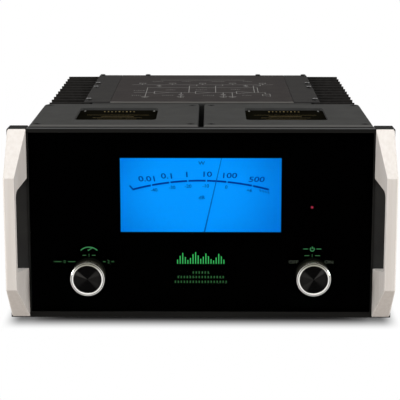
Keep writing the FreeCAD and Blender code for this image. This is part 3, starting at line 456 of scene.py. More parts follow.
dress(powder_coat("black_powder_coat", (52, 52, 51), (58, 58, 57)),
      "chassis_pan", "rear_panel", "centre_bulkhead")
dress(powder_coat("black_block_coat", (36, 36, 36), (41, 41, 40), refraction=1.03, dust=0.0),
      "left_end_block", "right_end_block")
dress(powder_coat("rail_powder_coat", (47, 46, 46), (53, 52, 51), size=0.5), "deck_rails")

# %% [markdown]
# ### Covers and deck
#
# The covers have a paler band near the glass, and the deck has a pale front edge. Both are painted
# highlights, where the front edges catch the light. Both could be strips of their own. A second
# colour that sets in at a certain depth paints them on the piece itself.

# %% Covers and deck, with painted highlights
def other_tone(finish, colour, start, end):
    """Paint a highlight: change the colour towards another one from a depth Y to a second depth, in metres.
    """
    tree = finish.node_tree
    shader = tree.nodes["Principled BSDF"]
    plain = shader.inputs["Base Color"].links[0].from_socket
    depth = add_node(tree, "SeparateXYZ", place_on_piece(tree)).outputs["Y"]
    feed(tree, shader.inputs["Base Color"],
         mixed(tree, fade(tree, depth, start, end), plain, screen(*colour)))
    return finish


cover_coat_and_highlight = powder_coat("cover_powder_coat_and_highlight", (58, 58, 57), (64, 64, 63))
cover_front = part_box("left_transformer_cover")[0].y
# A painted highlight: a paler band on top of the covers, 9 to 14 mm behind their front.
dress(other_tone(cover_coat_and_highlight, (84, 83, 81), cover_front + 14.0 * MM, cover_front + 9.0 * MM),
      "left_transformer_cover", "right_transformer_cover")
deck_coat_and_highlight = powder_coat("deck_powder_coat_and_highlight", (48, 45, 45), (55, 52, 51), size=0.5)
deck_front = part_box("deck_plate")[0].y
# A painted highlight: a pale line along the front edge of the deck.
dress(other_tone(deck_coat_and_highlight, (98, 96, 93), deck_front + 1.0 * MM, deck_front + 0.2 * MM), "deck_plate")

# %% [markdown]
# ### Frame and fins
#
# The frame round the glass and the heat sinks are extruded and anodised black. The press leaves
# lines along the way that the metal came out: across the front on the frame, upwards on the fins.

# %% Anodised frame and fins
dress(textured("black_anodised_frame", (20, 20, 19), (25, 25, 24), 0.4, drawn_lines, 0.3, 0.01,
               refraction=1.1, wear=0.2, along=(1.0, 0.0, 0.0)), "front_frame")
dress(textured("black_anodised_fins", (30, 29, 28), (37, 36, 35), 0.5, drawn_lines, 0.5, 0.02,
               refraction=1.02, wear=0.15, dust=0.02, along=(0.0, 0.0, 1.0)),
      "left_heat_sink", "right_heat_sink")

# %% [markdown]
# ### The feet
#
# The feet are moulded rubber. It is duller than the paint above it and holds more dust, and the
# same kind of finish shows that with other numbers.

# %% Rubber feet
dress(textured("rubber_feet", (24, 24, 24), (30, 30, 29), 0.8, fine_grain, 0.8, 0.04, refraction=1.12,
               dust=0.3), "feet")

# %% [markdown]
# ## The handles
#
# The handles are cast bars with flat facets, brushed upwards and anodised in a pale champagne tone.
# A mirror-like metal would show the black glass in the inner facets. Anodising scatters light like
# fine paper, so this metal is only partly metallic and quite rough, and each facet takes its tone
# from the light that falls on it.

# %% Champagne metal
dress(textured("champagne_handle", (205, 199, 193), (213, 208, 203), 0.5, drawn_lines, 0.4, 0.01,
               metallic=0.35, along=(0.0, 0.0, 1.0)), "left_end_cap", "right_end_cap")

# %% [markdown]
# ## The glass front
#
# The front is one sheet of clear glass over a black mask. The mask makes it look black, and the
# coating of such glass takes nearly all reflection away. That is set as a refraction close to that
# of air, which lets the lit dial through as well.

# %% Glass and mask
def clear_sheet(name, first, second, refraction):
    """Clear glass with a coating whose tint drifts a little over the sheet."""
    finish, tree, shader = new_finish(name, first, 0.0, refraction=refraction)
    shader.inputs["Transmission Weight"].default_value = 1.0
    skin = use(tree, fine_grain, size=4.0 * MM)
    feed(tree, shader.inputs["Base Color"], mixed(tree, skin["Tone"], screen(*first), screen(*second)))
    return finish


dress(clear_sheet("coated_front_glass", (252, 254, 255), (248, 252, 255), 1.03), "front_glass")
dress(textured("gloss_black_mask", (2, 2, 2), (4, 4, 4), 0.3, fine_grain, 3.0, 0.002, refraction=1.02),
      "front_mask")

# %% [markdown]
# ## The lit dial
#
# The dial is a printed translucent sheet with lamps at its edges, and it glows in an even azure
# that gets deeper towards both ends. A lamp behind a see-through sheet would need a lot of light to
# look right. A surface that gives out its own light shows the same, and its colour is exactly as
# written. The distance from the middle fades one blue into the other.

# %% Glow that fades towards the ends
EVEN_PART = 0.35
DEEP_PART = 1.25
DIAL_MIDDLE = (-8.0 * MM, dial_front, 163.0 * MM)
ANY_DEPTH = 1.0


def glowing(name, bright, deep, centre, half_width, half_height, power=1.0):
    """A glow that is even round its centre and gets deeper towards an oval. Along Y the oval
    reaches so far that only the place on the front counts."""
    finish, tree, shader = new_finish(name, (4, 20, 40), 0.9, refraction=1.0)
    offset = calc_vector(tree, "SUBTRACT", place_on_piece(tree), centre)
    oval = (half_width, ANY_DEPTH, half_height)
    share = calc_vector(tree, "LENGTH", calc_vector(tree, "DIVIDE", offset, oval))
    skin = use(tree, fine_grain, size=2.0 * MM)
    mask = fade(tree, calc(tree, "MULTIPLY_ADD", skin["Tone"], 0.04, share), EVEN_PART, DEEP_PART)
    feed(tree, shader.inputs["Emission Color"], mixed(tree, mask, screen(*bright), screen(*deep)))
    shader.inputs["Emission Strength"].default_value = power
    return finish


dress(glowing("lit_dial", (0, 147, 248), (0, 104, 200), DIAL_MIDDLE, 115.0 * MM, 100.0 * MM), "meter_dial")
dress(glowing("edge_lit_guide", (150, 200, 240), (60, 130, 210), DIAL_MIDDLE, 105.0 * MM, 75.0 * MM,
              power=0.3), "meter_light_guide")
led_middle = tuple(sum(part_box("status_led"), Vector()) / 2)
dress(glowing("status_lamp", (190, 52, 76), (130, 12, 34), led_middle, 3.0 * MM, 3.0 * MM), "status_led")

# %% [markdown]
# ## Prints as thin pieces
#
# The scale, the legends and the lines on the plates are printed or engraved. They could be painted
# by a texture, but a texture made of nodes is a poor tool for figures. Thin flat pieces lie on
# their surface instead and stay sharp at any distance. Lines are made from points on a flat sheet,
# and the sheet is then laid on the front, the back, the top or the underside.

# %% Lines and arcs
def stroke(points, width, closed=False):
    """A line of even width through flat points, as a row of four-cornered faces."""
    spots = [Vector(point) for point in points]
    count = len(spots)
    edges = []
    for number, spot in enumerate(spots):
        ways = []
        if number or closed:
            ways.append((spot - spots[number - 1]).normalized())
        if number < count - 1 or closed:
            ways.append((spots[(number + 1) % count] - spot).normalized())
        way = sum(ways, Vector((0.0, 0.0))).normalized()
        side = Vector((-way.y, way.x))
        lean = max(0.5, abs(way.dot(ways[0])))
        edges.append((spot + side * width / 2 / lean, spot - side * width / 2 / lean))
    last = count if closed else count - 1
    return [(edges[n][0], edges[n][1], edges[(n + 1) % count][1], edges[(n + 1) % count][0])
            for n in range(last)]


def arc_points(centre, radius, start, end, steps=24):
    """Points along part of a circle, from one angle to another in degrees."""
    angles = [math.radians(start + (end - start) * step / steps) for step in range(steps + 1)]
    return [(centre[0] + radius * math.cos(angle), centre[1] + radius * math.sin(angle))
            for angle in angles]


print("faces in a ring of 24 steps:", len(stroke(arc_points((0.0, 0.0), 1.0, 0.0, 360.0), 0.1)))

# %% [markdown]
# Figures could be drawn from strokes as well, but Blender has a plain font of its own. The text is
# turned into flat faces, and those are stretched to the wanted height.

# %% Figures
def figures(words, centre, height, slant=0.0, weight=0.0, widen=1.0):
    """Plain figures of a given height round a centre, as flat faces. Weight makes them bolder."""
    font = bpy.data.curves.new("figures", "FONT")
    font.body = words
    font.align_x = "CENTER"
    font.shear = slant
    font.offset = weight
    font.resolution_u = 3
    holder = bpy.data.objects.new("figures", font)
    shape = bpy.data.meshes.new_from_object(holder)
    low = min(corner.co.y for corner in shape.vertices)
    high = max(corner.co.y for corner in shape.vertices)
    size = height / (high - low)
    middle = (low + high) / 2
    faces = [[(centre[0] + shape.vertices[index].co.x * size * widen,
               centre[1] + (shape.vertices[index].co.y - middle) * size) for index in face.vertices]
             for face in shape.polygons]
    bpy.data.objects.remove(holder)
    bpy.data.meshes.remove(shape)
    bpy.data.curves.remove(font)
    return faces


print("faces in a plain 8:", len(figures("8", (0.0, 0.0), 5.0 * MM)))

# %% [markdown]
# An added piece also has to know which body it rides on, or a knob's new ring would stay behind
# when the knob turns. Each side of the object has its own directions across, up and outwards.

# %% Thin pieces on a surface
SIDES = {
    "front": (Vector((1, 0, 0)), Vector((0, 0, 1)), Vector((0, -1, 0))),
    "back": (Vector((-1, 0, 0)), Vector((0, 0, 1)), Vector((0, 1, 0))),
    "top": (Vector((1, 0, 0)), Vector((0, 1, 0)), Vector((0, 0, 1))),
    "under": (Vector((-1, 0, 0)), Vector((0, 1, 0)), Vector((0, 0, -1))),
}


def add_piece(name, mesh_work, finish, body="root", smooth=False):
    """Turn finished mesh work into a piece that rides on a body."""
    bmesh.ops.recalc_face_normals(mesh_work, faces=mesh_work.faces)
    mesh = bpy.data.meshes.new(name)
    mesh_work.to_mesh(mesh)
    mesh_work.free()
    mesh.materials.append(finish)
    if smooth:
        mesh.shade_smooth()
    piece = bpy.data.objects.new(name, mesh)
    bpy.context.scene.collection.objects.link(piece)
    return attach(piece, body)


def print_on(name, side, origin, shapes, finish, thick=0.04 * MM):
    """Lay flat shapes on a surface as one thin piece. Shapes are in metres, seen from in front."""
    across, up, out = SIDES[side]
    work = bmesh.new()
    for shape in shapes:
        corners = [work.verts.new(Vector(origin) + across * a + up * b) for a, b in shape]
        work.faces.new(corners)
    bmesh.ops.remove_doubles(work, verts=work.verts, dist=1e-7)
    grown = bmesh.ops.extrude_face_region(work, geom=list(work.faces))
    risen = [part for part in grown["geom"] if isinstance(part, bmesh.types.BMVert)]
    bmesh.ops.translate(work, vec=out * thick, verts=risen)
    piece = add_piece(name, work, finish)
    print("print:", name, "with", len(piece.data.polygons), "faces")


# %% [markdown]
# ## The scale on the dial
#
# The scale is a shallow navy arc that breaks off at each main mark, with large figures above it and
# small ones below. The arc passes through three measured points, its two ends and its top, and the
# figures stand where the marks are.

# %% The arc of the scale
ARC_ENDS = 79.3 * MM
ARC_TOP = 173.8 * MM
ARC_DROP = 10.6 * MM
ARC_WIDTH = 2.2 * MM
HALF_BREAK = 0.7 * MM
arc_radius = (ARC_ENDS ** 2 + ARC_DROP ** 2) / (2 * ARC_DROP)
arc_low = ARC_TOP - arc_radius


def scale_height(x):
    """The height of the arc at a place across the dial."""
    return arc_low + math.sqrt(arc_radius ** 2 - x ** 2)


def scale_line(breaks):
    """The arc, broken off a little at each place but its ends."""
    shapes = []
    for start, end in zip(breaks, breaks[1:]):
        first = start if start == breaks[0] else start + HALF_BREAK
        last = end if end == breaks[-1] else end - HALF_BREAK
        steps = [first + (last - first) * step / 12 for step in range(13)]
        shapes += stroke([(x, scale_height(x)) for x in steps], ARC_WIDTH)
    return shapes


def scale_ends():
    """A short hook at the low end, and four fine strokes under the high end."""
    low_x, low_z = -ARC_ENDS, scale_height(ARC_ENDS)
    hook = [(low_x + 1.0 * MM, low_z - 0.8 * MM), (low_x - 3.7 * MM, low_z + 4.6 * MM)]
    shapes = stroke(hook, 1.6 * MM)
    for step in range(4):
        x = ARC_ENDS - (1.0 + 3.2 * step) * MM
        z = scale_height(x) - 2.4 * MM
        shapes += stroke([(x, z), (x + 1.3 * MM, z - 3.0 * MM)], 0.9 * MM)
    return shapes


print("radius of the scale in mm:", round(arc_radius / MM, 1))

# %% [markdown]
# Figures on such a dial fan out: they stand a little wider than their marks and lean towards the
# ends. Ink under a bright sheet still lets some of its light through, so the navy glows faintly.

# %% Print the scale
SCALE_MARKS = [(-57.5, "0.01"), (-36.1, "0.1"), (-15.1, "1"), (6.4, "10"), (30.5, "100"), (60.2, "500")]
LOWER_MARKS = [(-54.2, "-40"), (-33.4, "-30"), (-14.8, "-20"), (5.6, "-10"), (29.5, "0"), (56.2, "+6")]
LEAN_CENTRE = 420.0
NAVY = (0, 30, 104)
navy_ink, _, navy_shader = new_finish("navy_ink", NAVY, 0.8, refraction=1.0)
navy_shader.inputs["Emission Color"].default_value = screen(*NAVY)
navy_shader.inputs["Emission Strength"].default_value = 1.0


def scale_figures(marks, rise, height, fan, widen):
    """Figures at their marks, in mm, above the arc or under it. They lean as if they pointed away
    from a place LEAN_CENTRE mm below them."""
    shapes = []
    for x, figure in marks:
        spot = (x * MM * fan, scale_height(x * MM) + rise * MM)
        shapes += figures(figure, spot, height * MM, x / LEAN_CENTRE, weight=0.012, widen=widen)
    return shapes


def scale_units():
    """The signs of the two units, in the middle above and below the arc."""
    return (figures("W", (0.9 * MM, 194.6 * MM), 4.2 * MM, weight=0.01, widen=1.2)
            + figures("dB", (0.9 * MM, 153.8 * MM), 4.2 * MM, weight=0.01, widen=1.1))


scale = scale_line([-ARC_ENDS] + [x * MM for x, figure in SCALE_MARKS] + [ARC_ENDS])
scale += scale_figures(SCALE_MARKS, rise=7.7, height=6.3, fan=1.07, widen=1.45)
scale += scale_figures(LOWER_MARKS, rise=-6.2, height=4.0, fan=1.0, widen=1.1)
print_on("dial_scale", "front", (0.0, dial_front, 0.0), scale + scale_ends() + scale_units(), navy_ink)

# %% [markdown]
# ## The lit legends
#
# Behind the glass, small legends glow green round the knobs, and a wider lit mark sits between
# them. They are cut-outs in the mask with lamps behind. Thin glowing pieces on the mask show the
# same through the glass. The legends here are plain signs and numbers: a meter sign and a power
# sign, dashes and the numbers of the positions.

# %% Inks that glow
def glowing_ink(name, colour):
    """A lit colour that is a little darker in places, as paint over a lamp is."""
    finish, tree, shader = new_finish(name, (0, 10, 4), 0.9, refraction=1.0)
    skin = use(tree, fine_grain, size=0.4 * MM)
    bright = screen(*colour)
    darker = tuple(part * 0.6 for part in bright[:3]) + (1.0,)
    share = calc(tree, "MULTIPLY", skin["Tone"], 0.3)
    feed(tree, shader.inputs["Emission Color"], mixed(tree, share, bright, darker))
    shader.inputs["Emission Strength"].default_value = 1.0
    print("ink:", name)
    return finish


lit_green = glowing_ink("lit_green", (62, 128, 80))
faint_green = glowing_ink("faint_green", (56, 100, 62))
dim_grey = glowing_ink("dim_grey", (78, 84, 72))
vivid_green = glowing_ink("vivid_green", (62, 184, 96))

# %% [markdown]
# The sign over each knob says what it sets: a needle over a scale for the meter, and a broken ring
# for the power. Each is a few strokes round its own place.

# %% Signs of the legends
def dashes(x, z, inner, outer):
    """A dash on each side of a place, in mm from it."""
    return [shape for side in (-1, 1) for shape in
            stroke([(x + side * inner * MM, z), (x + side * outer * MM, z)], 0.8 * MM)]


def meter_sign(x, z):
    """A needle over a shallow scale."""
    scale = stroke(arc_points((x, z - 12.2 * MM), 14.0 * MM, 46.0, 134.0), 1.2 * MM)
    needle = stroke([(x - 1.2 * MM, z - 2.4 * MM), (x + 4.0 * MM, z + 1.0 * MM)], 1.1 * MM)
    return scale + needle


def power_sign(x, z):
    """An open ring with a line in its gap, between two dashes."""
    ring = stroke(arc_points((x, z - 0.3 * MM), 2.3 * MM, 130.0, 410.0), 1.0 * MM)
    return ring + stroke([(x, z + 0.1 * MM), (x, z + 3.0 * MM)], 1.0 * MM) + dashes(x, z, 5.0, 10.5)


print("faces in a meter sign:", len(meter_sign(0.0, 0.0)), " in a power sign:", len(power_sign(0.0, 0.0)))

# %% [markdown]
# Places on the front are distances from its middle and heights above the ground. The knobs have
# three positions each, so there is a legend to the left, above and to the right of each.

# %% Legends by the knobs
LEFT_KNOB = -130.4 * MM
RIGHT_KNOB = 129.9 * MM
HEADER_ROW = 95.8 * MM
MIDDLE_ROW = 87.8 * MM
LABEL_ROW = 80.1 * MM
LEGEND_HEIGHT = 3.6 * MM
FIRST_PLACE = -159.0 * MM
LAST_PLACE = -107.7 * MM
OFF_PLACE = 108.3 * MM
ON_PLACE = 149.6 * MM
MASK_ORIGIN = (0.0, mask_front, 0.0)


def legend(words, x, z, weight=0.0, widen=1.0):
    return figures(words, (x, z), LEGEND_HEIGHT, weight=weight, widen=widen)


print_on("lit_headers", "front", MASK_ORIGIN,
         meter_sign(LEFT_KNOB, HEADER_ROW) + power_sign(RIGHT_KNOB, HEADER_ROW), lit_green)
places = legend("1", LEFT_KNOB, MIDDLE_ROW) + dashes(LEFT_KNOB, MIDDLE_ROW, 3.4, 7.6)
places += legend("1", RIGHT_KNOB, MIDDLE_ROW) + dashes(RIGHT_KNOB, MIDDLE_ROW, 3.4, 9.2)
places += legend("0", FIRST_PLACE, LABEL_ROW) + dashes(FIRST_PLACE, LABEL_ROW, 4.0, 12.5)
places += legend("2", LAST_PLACE, LABEL_ROW) + dashes(LAST_PLACE, LABEL_ROW, 3.4, 6.4)
print_on("lit_places", "front", MASK_ORIGIN, places, faint_green)
print_on("on_and_off", "front", MASK_ORIGIN,
         legend("OFF", OFF_PLACE, LABEL_ROW, weight=-0.015, widen=1.25)
         + legend("ON", ON_PLACE, LABEL_ROW, weight=-0.015, widen=1.25), dim_grey)

# %% [markdown]
# ### The lit mark
#
# The wider mark in the middle is a row of upright bars, like the levels of a spectrum, with three
# rows of fine strokes under it. Bars of uneven height fill such a place well and stay plain.

# %% The lit mark in the middle
BARS_LOW = 77.8
BAR_PITCH = 3.0
BAR_HEIGHTS = (5.0, 9.5, 13.0, 8.0, 4.5, 7.0, 11.5, 14.0, 10.0, 6.0, 8.5, 12.5, 9.0, 5.5, 4.0, 7.5, 12.0,
               9.0, 5.0)
TICK_PITCH = 3.5
TICK_HEIGHT = 2.8
TICK_ROWS = ((67.3, 11.0), (61.8, 28.5), (56.0, 31.5))


def upright(x, low, height):
    """An upright bar, in mm."""
    return stroke([(x * MM, low * MM), (x * MM, (low + height) * MM)], 1.1 * MM)


def spread(count, pitch):
    """Evenly spaced places on both sides of the middle."""
    return [(number - (count - 1) / 2) * pitch for number in range(count)]


bars = [shape for x, height in zip(spread(len(BAR_HEIGHTS), BAR_PITCH), BAR_HEIGHTS)
        for shape in upright(x, BARS_LOW, height)]
print_on("lit_mark", "front", MASK_ORIGIN, bars, vivid_green)
ticks = [shape for height, half_width in TICK_ROWS
         for x in spread(int(2 * half_width / TICK_PITCH), TICK_PITCH)
         for shape in upright(x, height - TICK_HEIGHT / 2, TICK_HEIGHT)]
print_on("lit_ticks", "front", MASK_ORIGIN, ticks, faint_green)

# %% [markdown]
# ## The knobs
#
# Each knob is a black fluted aluminium cap with a spun face, and a bright ring with a bevelled
# front pressed on it. The fluted cap stays as it is in the construction. Its face needs a
# reflection that runs in streaks from the centre. A high anisotropy, with a tangent that runs round
# the knob's axis, gives a soft one. The lamps of a studio leave sharper ones, so a few more are
# painted into the colour as highlights, each by its angle round the axis.

# %% Painted highlight streaks on a spun face
# A mask by the angle round an axis. It places painted highlights on the knobs and a painted reflection on the
# rings.
def build_spun_streak():
    effect, given, result = new_effect(
        "painted_light_sector", {"Centre": (0.0, 0.0, 0.0), "Angle": 0.0, "Spread": 0.95}, ("Mask",))
    offset = calc_vector(effect, "SUBTRACT", place_on_piece(effect), given["Centre"])
    flat = calc_vector(effect, "NORMALIZE", calc_vector(effect, "MULTIPLY", offset, (1.0, 0.0, 1.0)))
    way = add_node(effect, "CombineXYZ", calc(effect, "COSINE", given["Angle"]), 0.0,
                   calc(effect, "SINE", given["Angle"])).outputs["Vector"]
    likeness = calc_vector(effect, "DOT_PRODUCT", flat, way)
    feed(effect, result["Mask"], fade(effect, likeness, given["Spread"], 1.0))
    return effect


painted_light_sector = build_spun_streak()
print("effect:", painted_light_sector.name)

# %% [markdown]
# ### Black face, olive flutes
#
# The face looks to the front and the flutes look away from the axis, so the surface normal tells
# them apart. The flutes get darker towards the glass, where the black front shades them.

# %% Knob finish
KNOB_AXIS = (0.0, 1.0, 0.0)


def tangent_round(tree, centre):
    """The direction round a knob's axis, for the streaks of a spun face."""
    spot = add_node(tree, "NewGeometry").outputs["Position"]
    offset = calc_vector(tree, "SUBTRACT", spot, centre)
    return calc_vector(tree, "NORMALIZE", calc_vector(tree, "CROSS_PRODUCT", KNOB_AXIS, offset))


def spun_face(tree, tone, centre, streaks):
    """Nearly black, with a painted highlight streak for each (angle, narrowness, strength)."""
    face = mixed(tree, tone, screen(4, 4, 4), screen(9, 9, 9))
    for angle, narrowness, strength in streaks:
        streak = use(tree, painted_light_sector, centre=centre, angle=math.radians(angle), spread=narrowness)["Mask"]
        # Each streak paints a highlight in pale grey.
        face = mixed(tree, calc(tree, "MULTIPLY", streak, strength), face, screen(60, 60, 59))
    return face


def knob_finish(name, centre, streaks, front, back):
    finish, tree, shader = new_finish(name, (8, 8, 8), 0.4, refraction=1.06)
    skin = use(tree, lathe_marks, size=0.3 * MM, centre=centre, axis=KNOB_AXIS)
    face = spun_face(tree, skin["Tone"], centre, streaks)
    depth = add_node(tree, "SeparateXYZ", place_on_piece(tree)).outputs["Y"]
    shaded = fade(tree, depth, front, 0.4 * front + 0.6 * back)
    flute = mixed(tree, shaded, screen(60, 59, 49), screen(10, 11, 9))
    forward = add_node(tree, "SeparateXYZ", add_node(tree, "NewGeometry").outputs["Normal"]).outputs["Y"]
    on_face = fade(tree, calc(tree, "MULTIPLY", forward, -1.0), 0.5, 0.9)
    feed(tree, shader.inputs["Base Color"], mixed(tree, on_face, flute, face))
    feed(tree, shader.inputs["Roughness"], calc(tree, "MULTIPLY_ADD", skin["Tone"], 0.08, 0.38))
    shader.inputs["Anisotropic"].default_value = 0.9
    feed(tree, shader.inputs["Tangent"], tangent_round(tree, centre))
    relief(tree, shader, skin["Height"], 0.002)
    print("finish:", name, "with", len(streaks), "streaks")
    return finish


# %% [markdown]
# ### Bright ring
#
# The ring is polished metal with a fine groove near its rim, painted dark there as shade. Its upper
# part carries a painted reflection of the dark covers and is duller than the rest, and its colour
# turns darker towards the outer rim. The distance from the axis places the groove's painted shade
# and the rim, and the angle round the axis places the painted reflection.

# %% Ring finish
RING_GROOVE = 18.45 * MM
GROOVE_FLOOR = 0.2 * MM
GROOVE_SIDE = 0.55 * MM
RIM_START = 19.2 * MM
RIM_END = 20.0 * MM


def bright_ring(name, centre):
    finish, tree, shader = new_finish(name, (206, 204, 198), 0.12, metallic=1.0)
    skin = use(tree, lathe_marks, size=0.2 * MM, centre=centre, axis=KNOB_AXIS)
    metal = mixed(tree, skin["Tone"], screen(222, 220, 214), screen(240, 238, 234))
    # A painted reflection of the dark covers on the upper part of the ring.
    above = use(tree, painted_light_sector, centre=centre, angle=math.radians(90.0), spread=0.3)["Mask"]
    metal = mixed(tree, calc(tree, "MULTIPLY", above, 0.9), metal, screen(140, 139, 124))
    # Darker towards the outer rim.
    metal = mixed(tree, fade(tree, skin["Reach"], RIM_START, RIM_END), metal, BARE_METAL)
    # Painted shade in the groove.
    near_groove = calc(tree, "ABSOLUTE", calc(tree, "SUBTRACT", skin["Reach"], RING_GROOVE))
    groove_painted_shade = calc(tree, "SUBTRACT", 1.0, fade(tree, near_groove, GROOVE_FLOOR, GROOVE_SIDE))
    feed(tree, shader.inputs["Base Color"], mixed(tree, groove_painted_shade, metal, screen(52, 50, 46)))
    feed(tree, shader.inputs["Roughness"], calc(tree, "MULTIPLY_ADD", skin["Tone"], 0.06, 0.1))
    relief(tree, shader, skin["Height"], 0.002)
    print("finish:", name)
    return finish


# %% [markdown]
# ### Turned shapes
#
# A ring, a screw head and a shank are all turned, so one helper spins an outline round an axis. A
# modifier could do that too, but here the radius may change with the angle, which the sockets of
# the screws need.

# %% Spin a piece round an axis
def turned_work(rings, centre, side, segments=96, closed=False):
    """Mesh work from rings of (radius, height). A radius may change with the angle.
    Closed joins the last ring to the first, for a hollow ring; otherwise both ends get a cap."""
    across, up, out = SIDES[side]
    work = bmesh.new()
    rows = []
    for radius, height in rings:
        row = []
        for step in range(segments):
            angle = 2 * math.pi * step / segments
            reach = radius(angle) if callable(radius) else radius
            row.append(work.verts.new(Vector(centre) + across * reach * math.cos(angle)
                                      + up * reach * math.sin(angle) + out * height))
        rows.append(row)
    pairs = list(zip(rows, rows[1:])) + ([(rows[-1], rows[0])] if closed else [])
    for row, following in pairs:
        for step in range(segments):
            after = (step + 1) % segments
            work.faces.new((row[step], row[after], following[after], following[step]))
    if not closed:
        work.faces.new(rows[0][::-1])
        work.faces.new(rows[-1])
    return work


sample = turned_work([(1.0, 0.0), (1.0, 0.1)], (0.0, 0.0, 0.0), "top", segments=12)
print("faces in a disc of 12 steps:", len(sample.faces))
sample.free()

# %% [markdown]
# Even a turned piece has edges that are too sharp. A bevel modifier rounds every edge that is
# sharper than a given angle, and leaves the flat faces flat.

# %% Soften sharp edges
def soften(piece, width, segments=2):
    """Round the sharp edges of a piece, with flat faces kept flat."""
    bevel = piece.modifiers.new("soft edges", "BEVEL")
    bevel.width = width
    bevel.segments = segments
    bevel.limit_method = "ANGLE"
    bevel.angle_limit = math.radians(30.0)
    bevel.harden_normals = True


# %% [markdown]
# ### The rings on the knobs
#
# The ring of the construction has flat sides, to keep it light. Its bevel catches the light of the
# whole room, so it is spun anew with more steps and rounder edges. The new ring takes the place of
# the old one, rides on the same knob and stays inside its box.

# %% Knob rings
RING_HOLE = 16.2 * MM
RING_SIDE = [(0.0, 0.0), (3.8, 0.05), (3.8, 2.2), (3.72, 2.3)]
RING_FRONT = [(3.3, 0.95), (2.45, 0.45), (2.4, 0.62), (2.1, 0.62), (2.05, 0.3), (1.3, 0.0), (0.2, 0.0),
              (0.0, 0.25)]


def knob_ring(side_name, body):
    """Spin a ring on its knob. Its outline is in mm outside the hole, and up from the back on the
    side, down from the front on the front."""
    low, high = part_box(side_name + "_knob_ring")
    centre = ((low.x + high.x) / 2, high.y, (low.z + high.z) / 2)
    depth = high.y - low.y
    rings = [(RING_HOLE + out * MM, rise * MM) for out, rise in RING_SIDE]
    rings += [(RING_HOLE + out * MM, depth - down * MM) for out, down in RING_FRONT]
    work = turned_work(rings, centre, "front", segments=144, closed=True)
    finish = bright_ring(side_name + "_ring_painted_shade_and_reflection", centre)
    piece = add_piece(side_name + "_bevelled_ring", work, finish, body, smooth=True)
    piece.data.set_sharp_from_angle(angle=math.radians(24.0))
    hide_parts(side_name + "_knob_ring")
    dress(finish, side_name + "_knob_ring")
    print("ring:", piece.name, "width mm", round((high.x - low.x) / MM, 2), "depth mm", round(depth / MM, 2))
    return centre


# %% [markdown]
# Each knob has other painted highlight streaks, because it stands elsewhere under the lamps. A streak
# has its angle in degrees, how narrow it is (1 is a bare line), and how strong.

# %% Dress both knobs
PAINTED_STREAKS = {
    "left": ((0.0, 0.6, 0.2), (180.0, 0.6, 0.14), (150.0, 0.97, 0.75), (32.0, 0.95, 0.3),
             (-35.0, 0.95, 0.15)),
    "right": ((0.0, 0.6, 0.18), (180.0, 0.6, 0.22), (43.0, 0.97, 0.7), (152.0, 0.95, 0.25),
              (225.0, 0.94, 0.3)),
}
for side_name, body in (("left", "meter_knob"), ("right", "power_knob")):
    ring_centre = knob_ring(side_name, body)
    knob_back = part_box(side_name + "_knob")[1].y
    dress(knob_finish(side_name + "_knob_black_painted_streaks", ring_centre, PAINTED_STREAKS[side_name], ring_centre[1], knob_back),
          side_name + "_knob")

# %% [markdown]
# ## A painted shade line on the frame
#
# A narrow dark line runs along the top of the frame, between its front edge and the covers, where
# the gap lies in shade. It is painted shade: a groove could be cut into the frame, but the
# construction's meshes stay as they are, so a flat dark strip lies in its place.

# %% Painted shade strip
SHADE_LINE_WIDTH = 6.6 * MM
SHADE_LINE_FROM_BACK = 4.6 * MM
SHADE_LINE_INSET = 2.0 * MM
# Painted shade: a near-black strip where the gap between the frame and the covers is shaded.
painted_shade_line = textured("painted_shade_line", (30, 30, 30), (36, 36, 35), 0.8, fine_grain, 0.5, 0.004,
                        refraction=1.0)
frame_low, frame_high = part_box("front_frame")
shade_line_y = frame_high.y - SHADE_LINE_FROM_BACK
print_on("frame_painted_shade_line", "top", (0.0, 0.0, frame_high.z),
         stroke([(frame_low.x + SHADE_LINE_INSET, shade_line_y), (frame_high.x - SHADE_LINE_INSET, shade_line_y)],
                SHADE_LINE_WIDTH), painted_shade_line)

# %% [markdown]
# ## Screw heads
#
# The covers are held by sunk socket screws and the deck by raised ones. At arm's length one sees a
# dark hexagon in each head, so a plain disc would look wrong. The head is spun from rings, and the
# rings of the socket bend their circle into a hexagon.

# %% The shape of a head
def hexagon(reach):
    """A radius that follows the flats of a hexagon."""
    return lambda angle: reach * math.cos(math.pi / 6) / math.cos((angle % (math.pi / 3)) - math.pi / 6)


def screw_head_rings(radius, height, socket, depth):
    """Up the side of the head, over its rounded rim and down into the socket."""
    return [(radius, -height), (radius, -0.45 * MM), (radius - 0.15 * MM, -0.15 * MM),
            (radius - 0.45 * MM, 0.0), (hexagon(socket + 0.15 * MM), 0.0), (hexagon(socket), -0.2 * MM),
            (hexagon(socket), -depth)]


print("a hexagon of 4 mm over its corners has flats of", round(2 * hexagon(2.0)(math.pi / 6), 2), "mm")

# %% [markdown]
# The screws of one kind share a construction piece, so their places are found in its mesh: corners
# that edges join belong to the same screw.

# %% Find the separate solids of a piece
def islands(name):
    """The lowest and the highest corner of the box round each separate solid of a piece."""
    mesh = bmesh.new()
    mesh.from_mesh(pieces[name].data)
    bmesh.ops.remove_doubles(mesh, verts=mesh.verts, dist=1e-6)
    left = set(mesh.verts)
    found = []
    while left:
        heap = [left.pop()]
        corners = [heap[0].co.copy()]
        while heap:
            for edge in heap.pop().link_edges:
                for corner in edge.verts:
                    if corner in left:
                        left.remove(corner)
                        heap.append(corner)
                        corners.append(corner.co.copy())
        low = Vector([min(corner[axis] for corner in corners) for axis in range(3)])
        high = Vector([max(corner[axis] for corner in corners) for axis in range(3)])
        found.append((low, high))
    mesh.free()
    return found


print("solids in case_screws:", len(islands("case_screws")))

# %% [markdown]
# Each screw is a head and a shank. The screws in the feet look down and all others look up. The
# sunk ones are blackened steel, and the raised ones have pale patches on the rims of their heads.

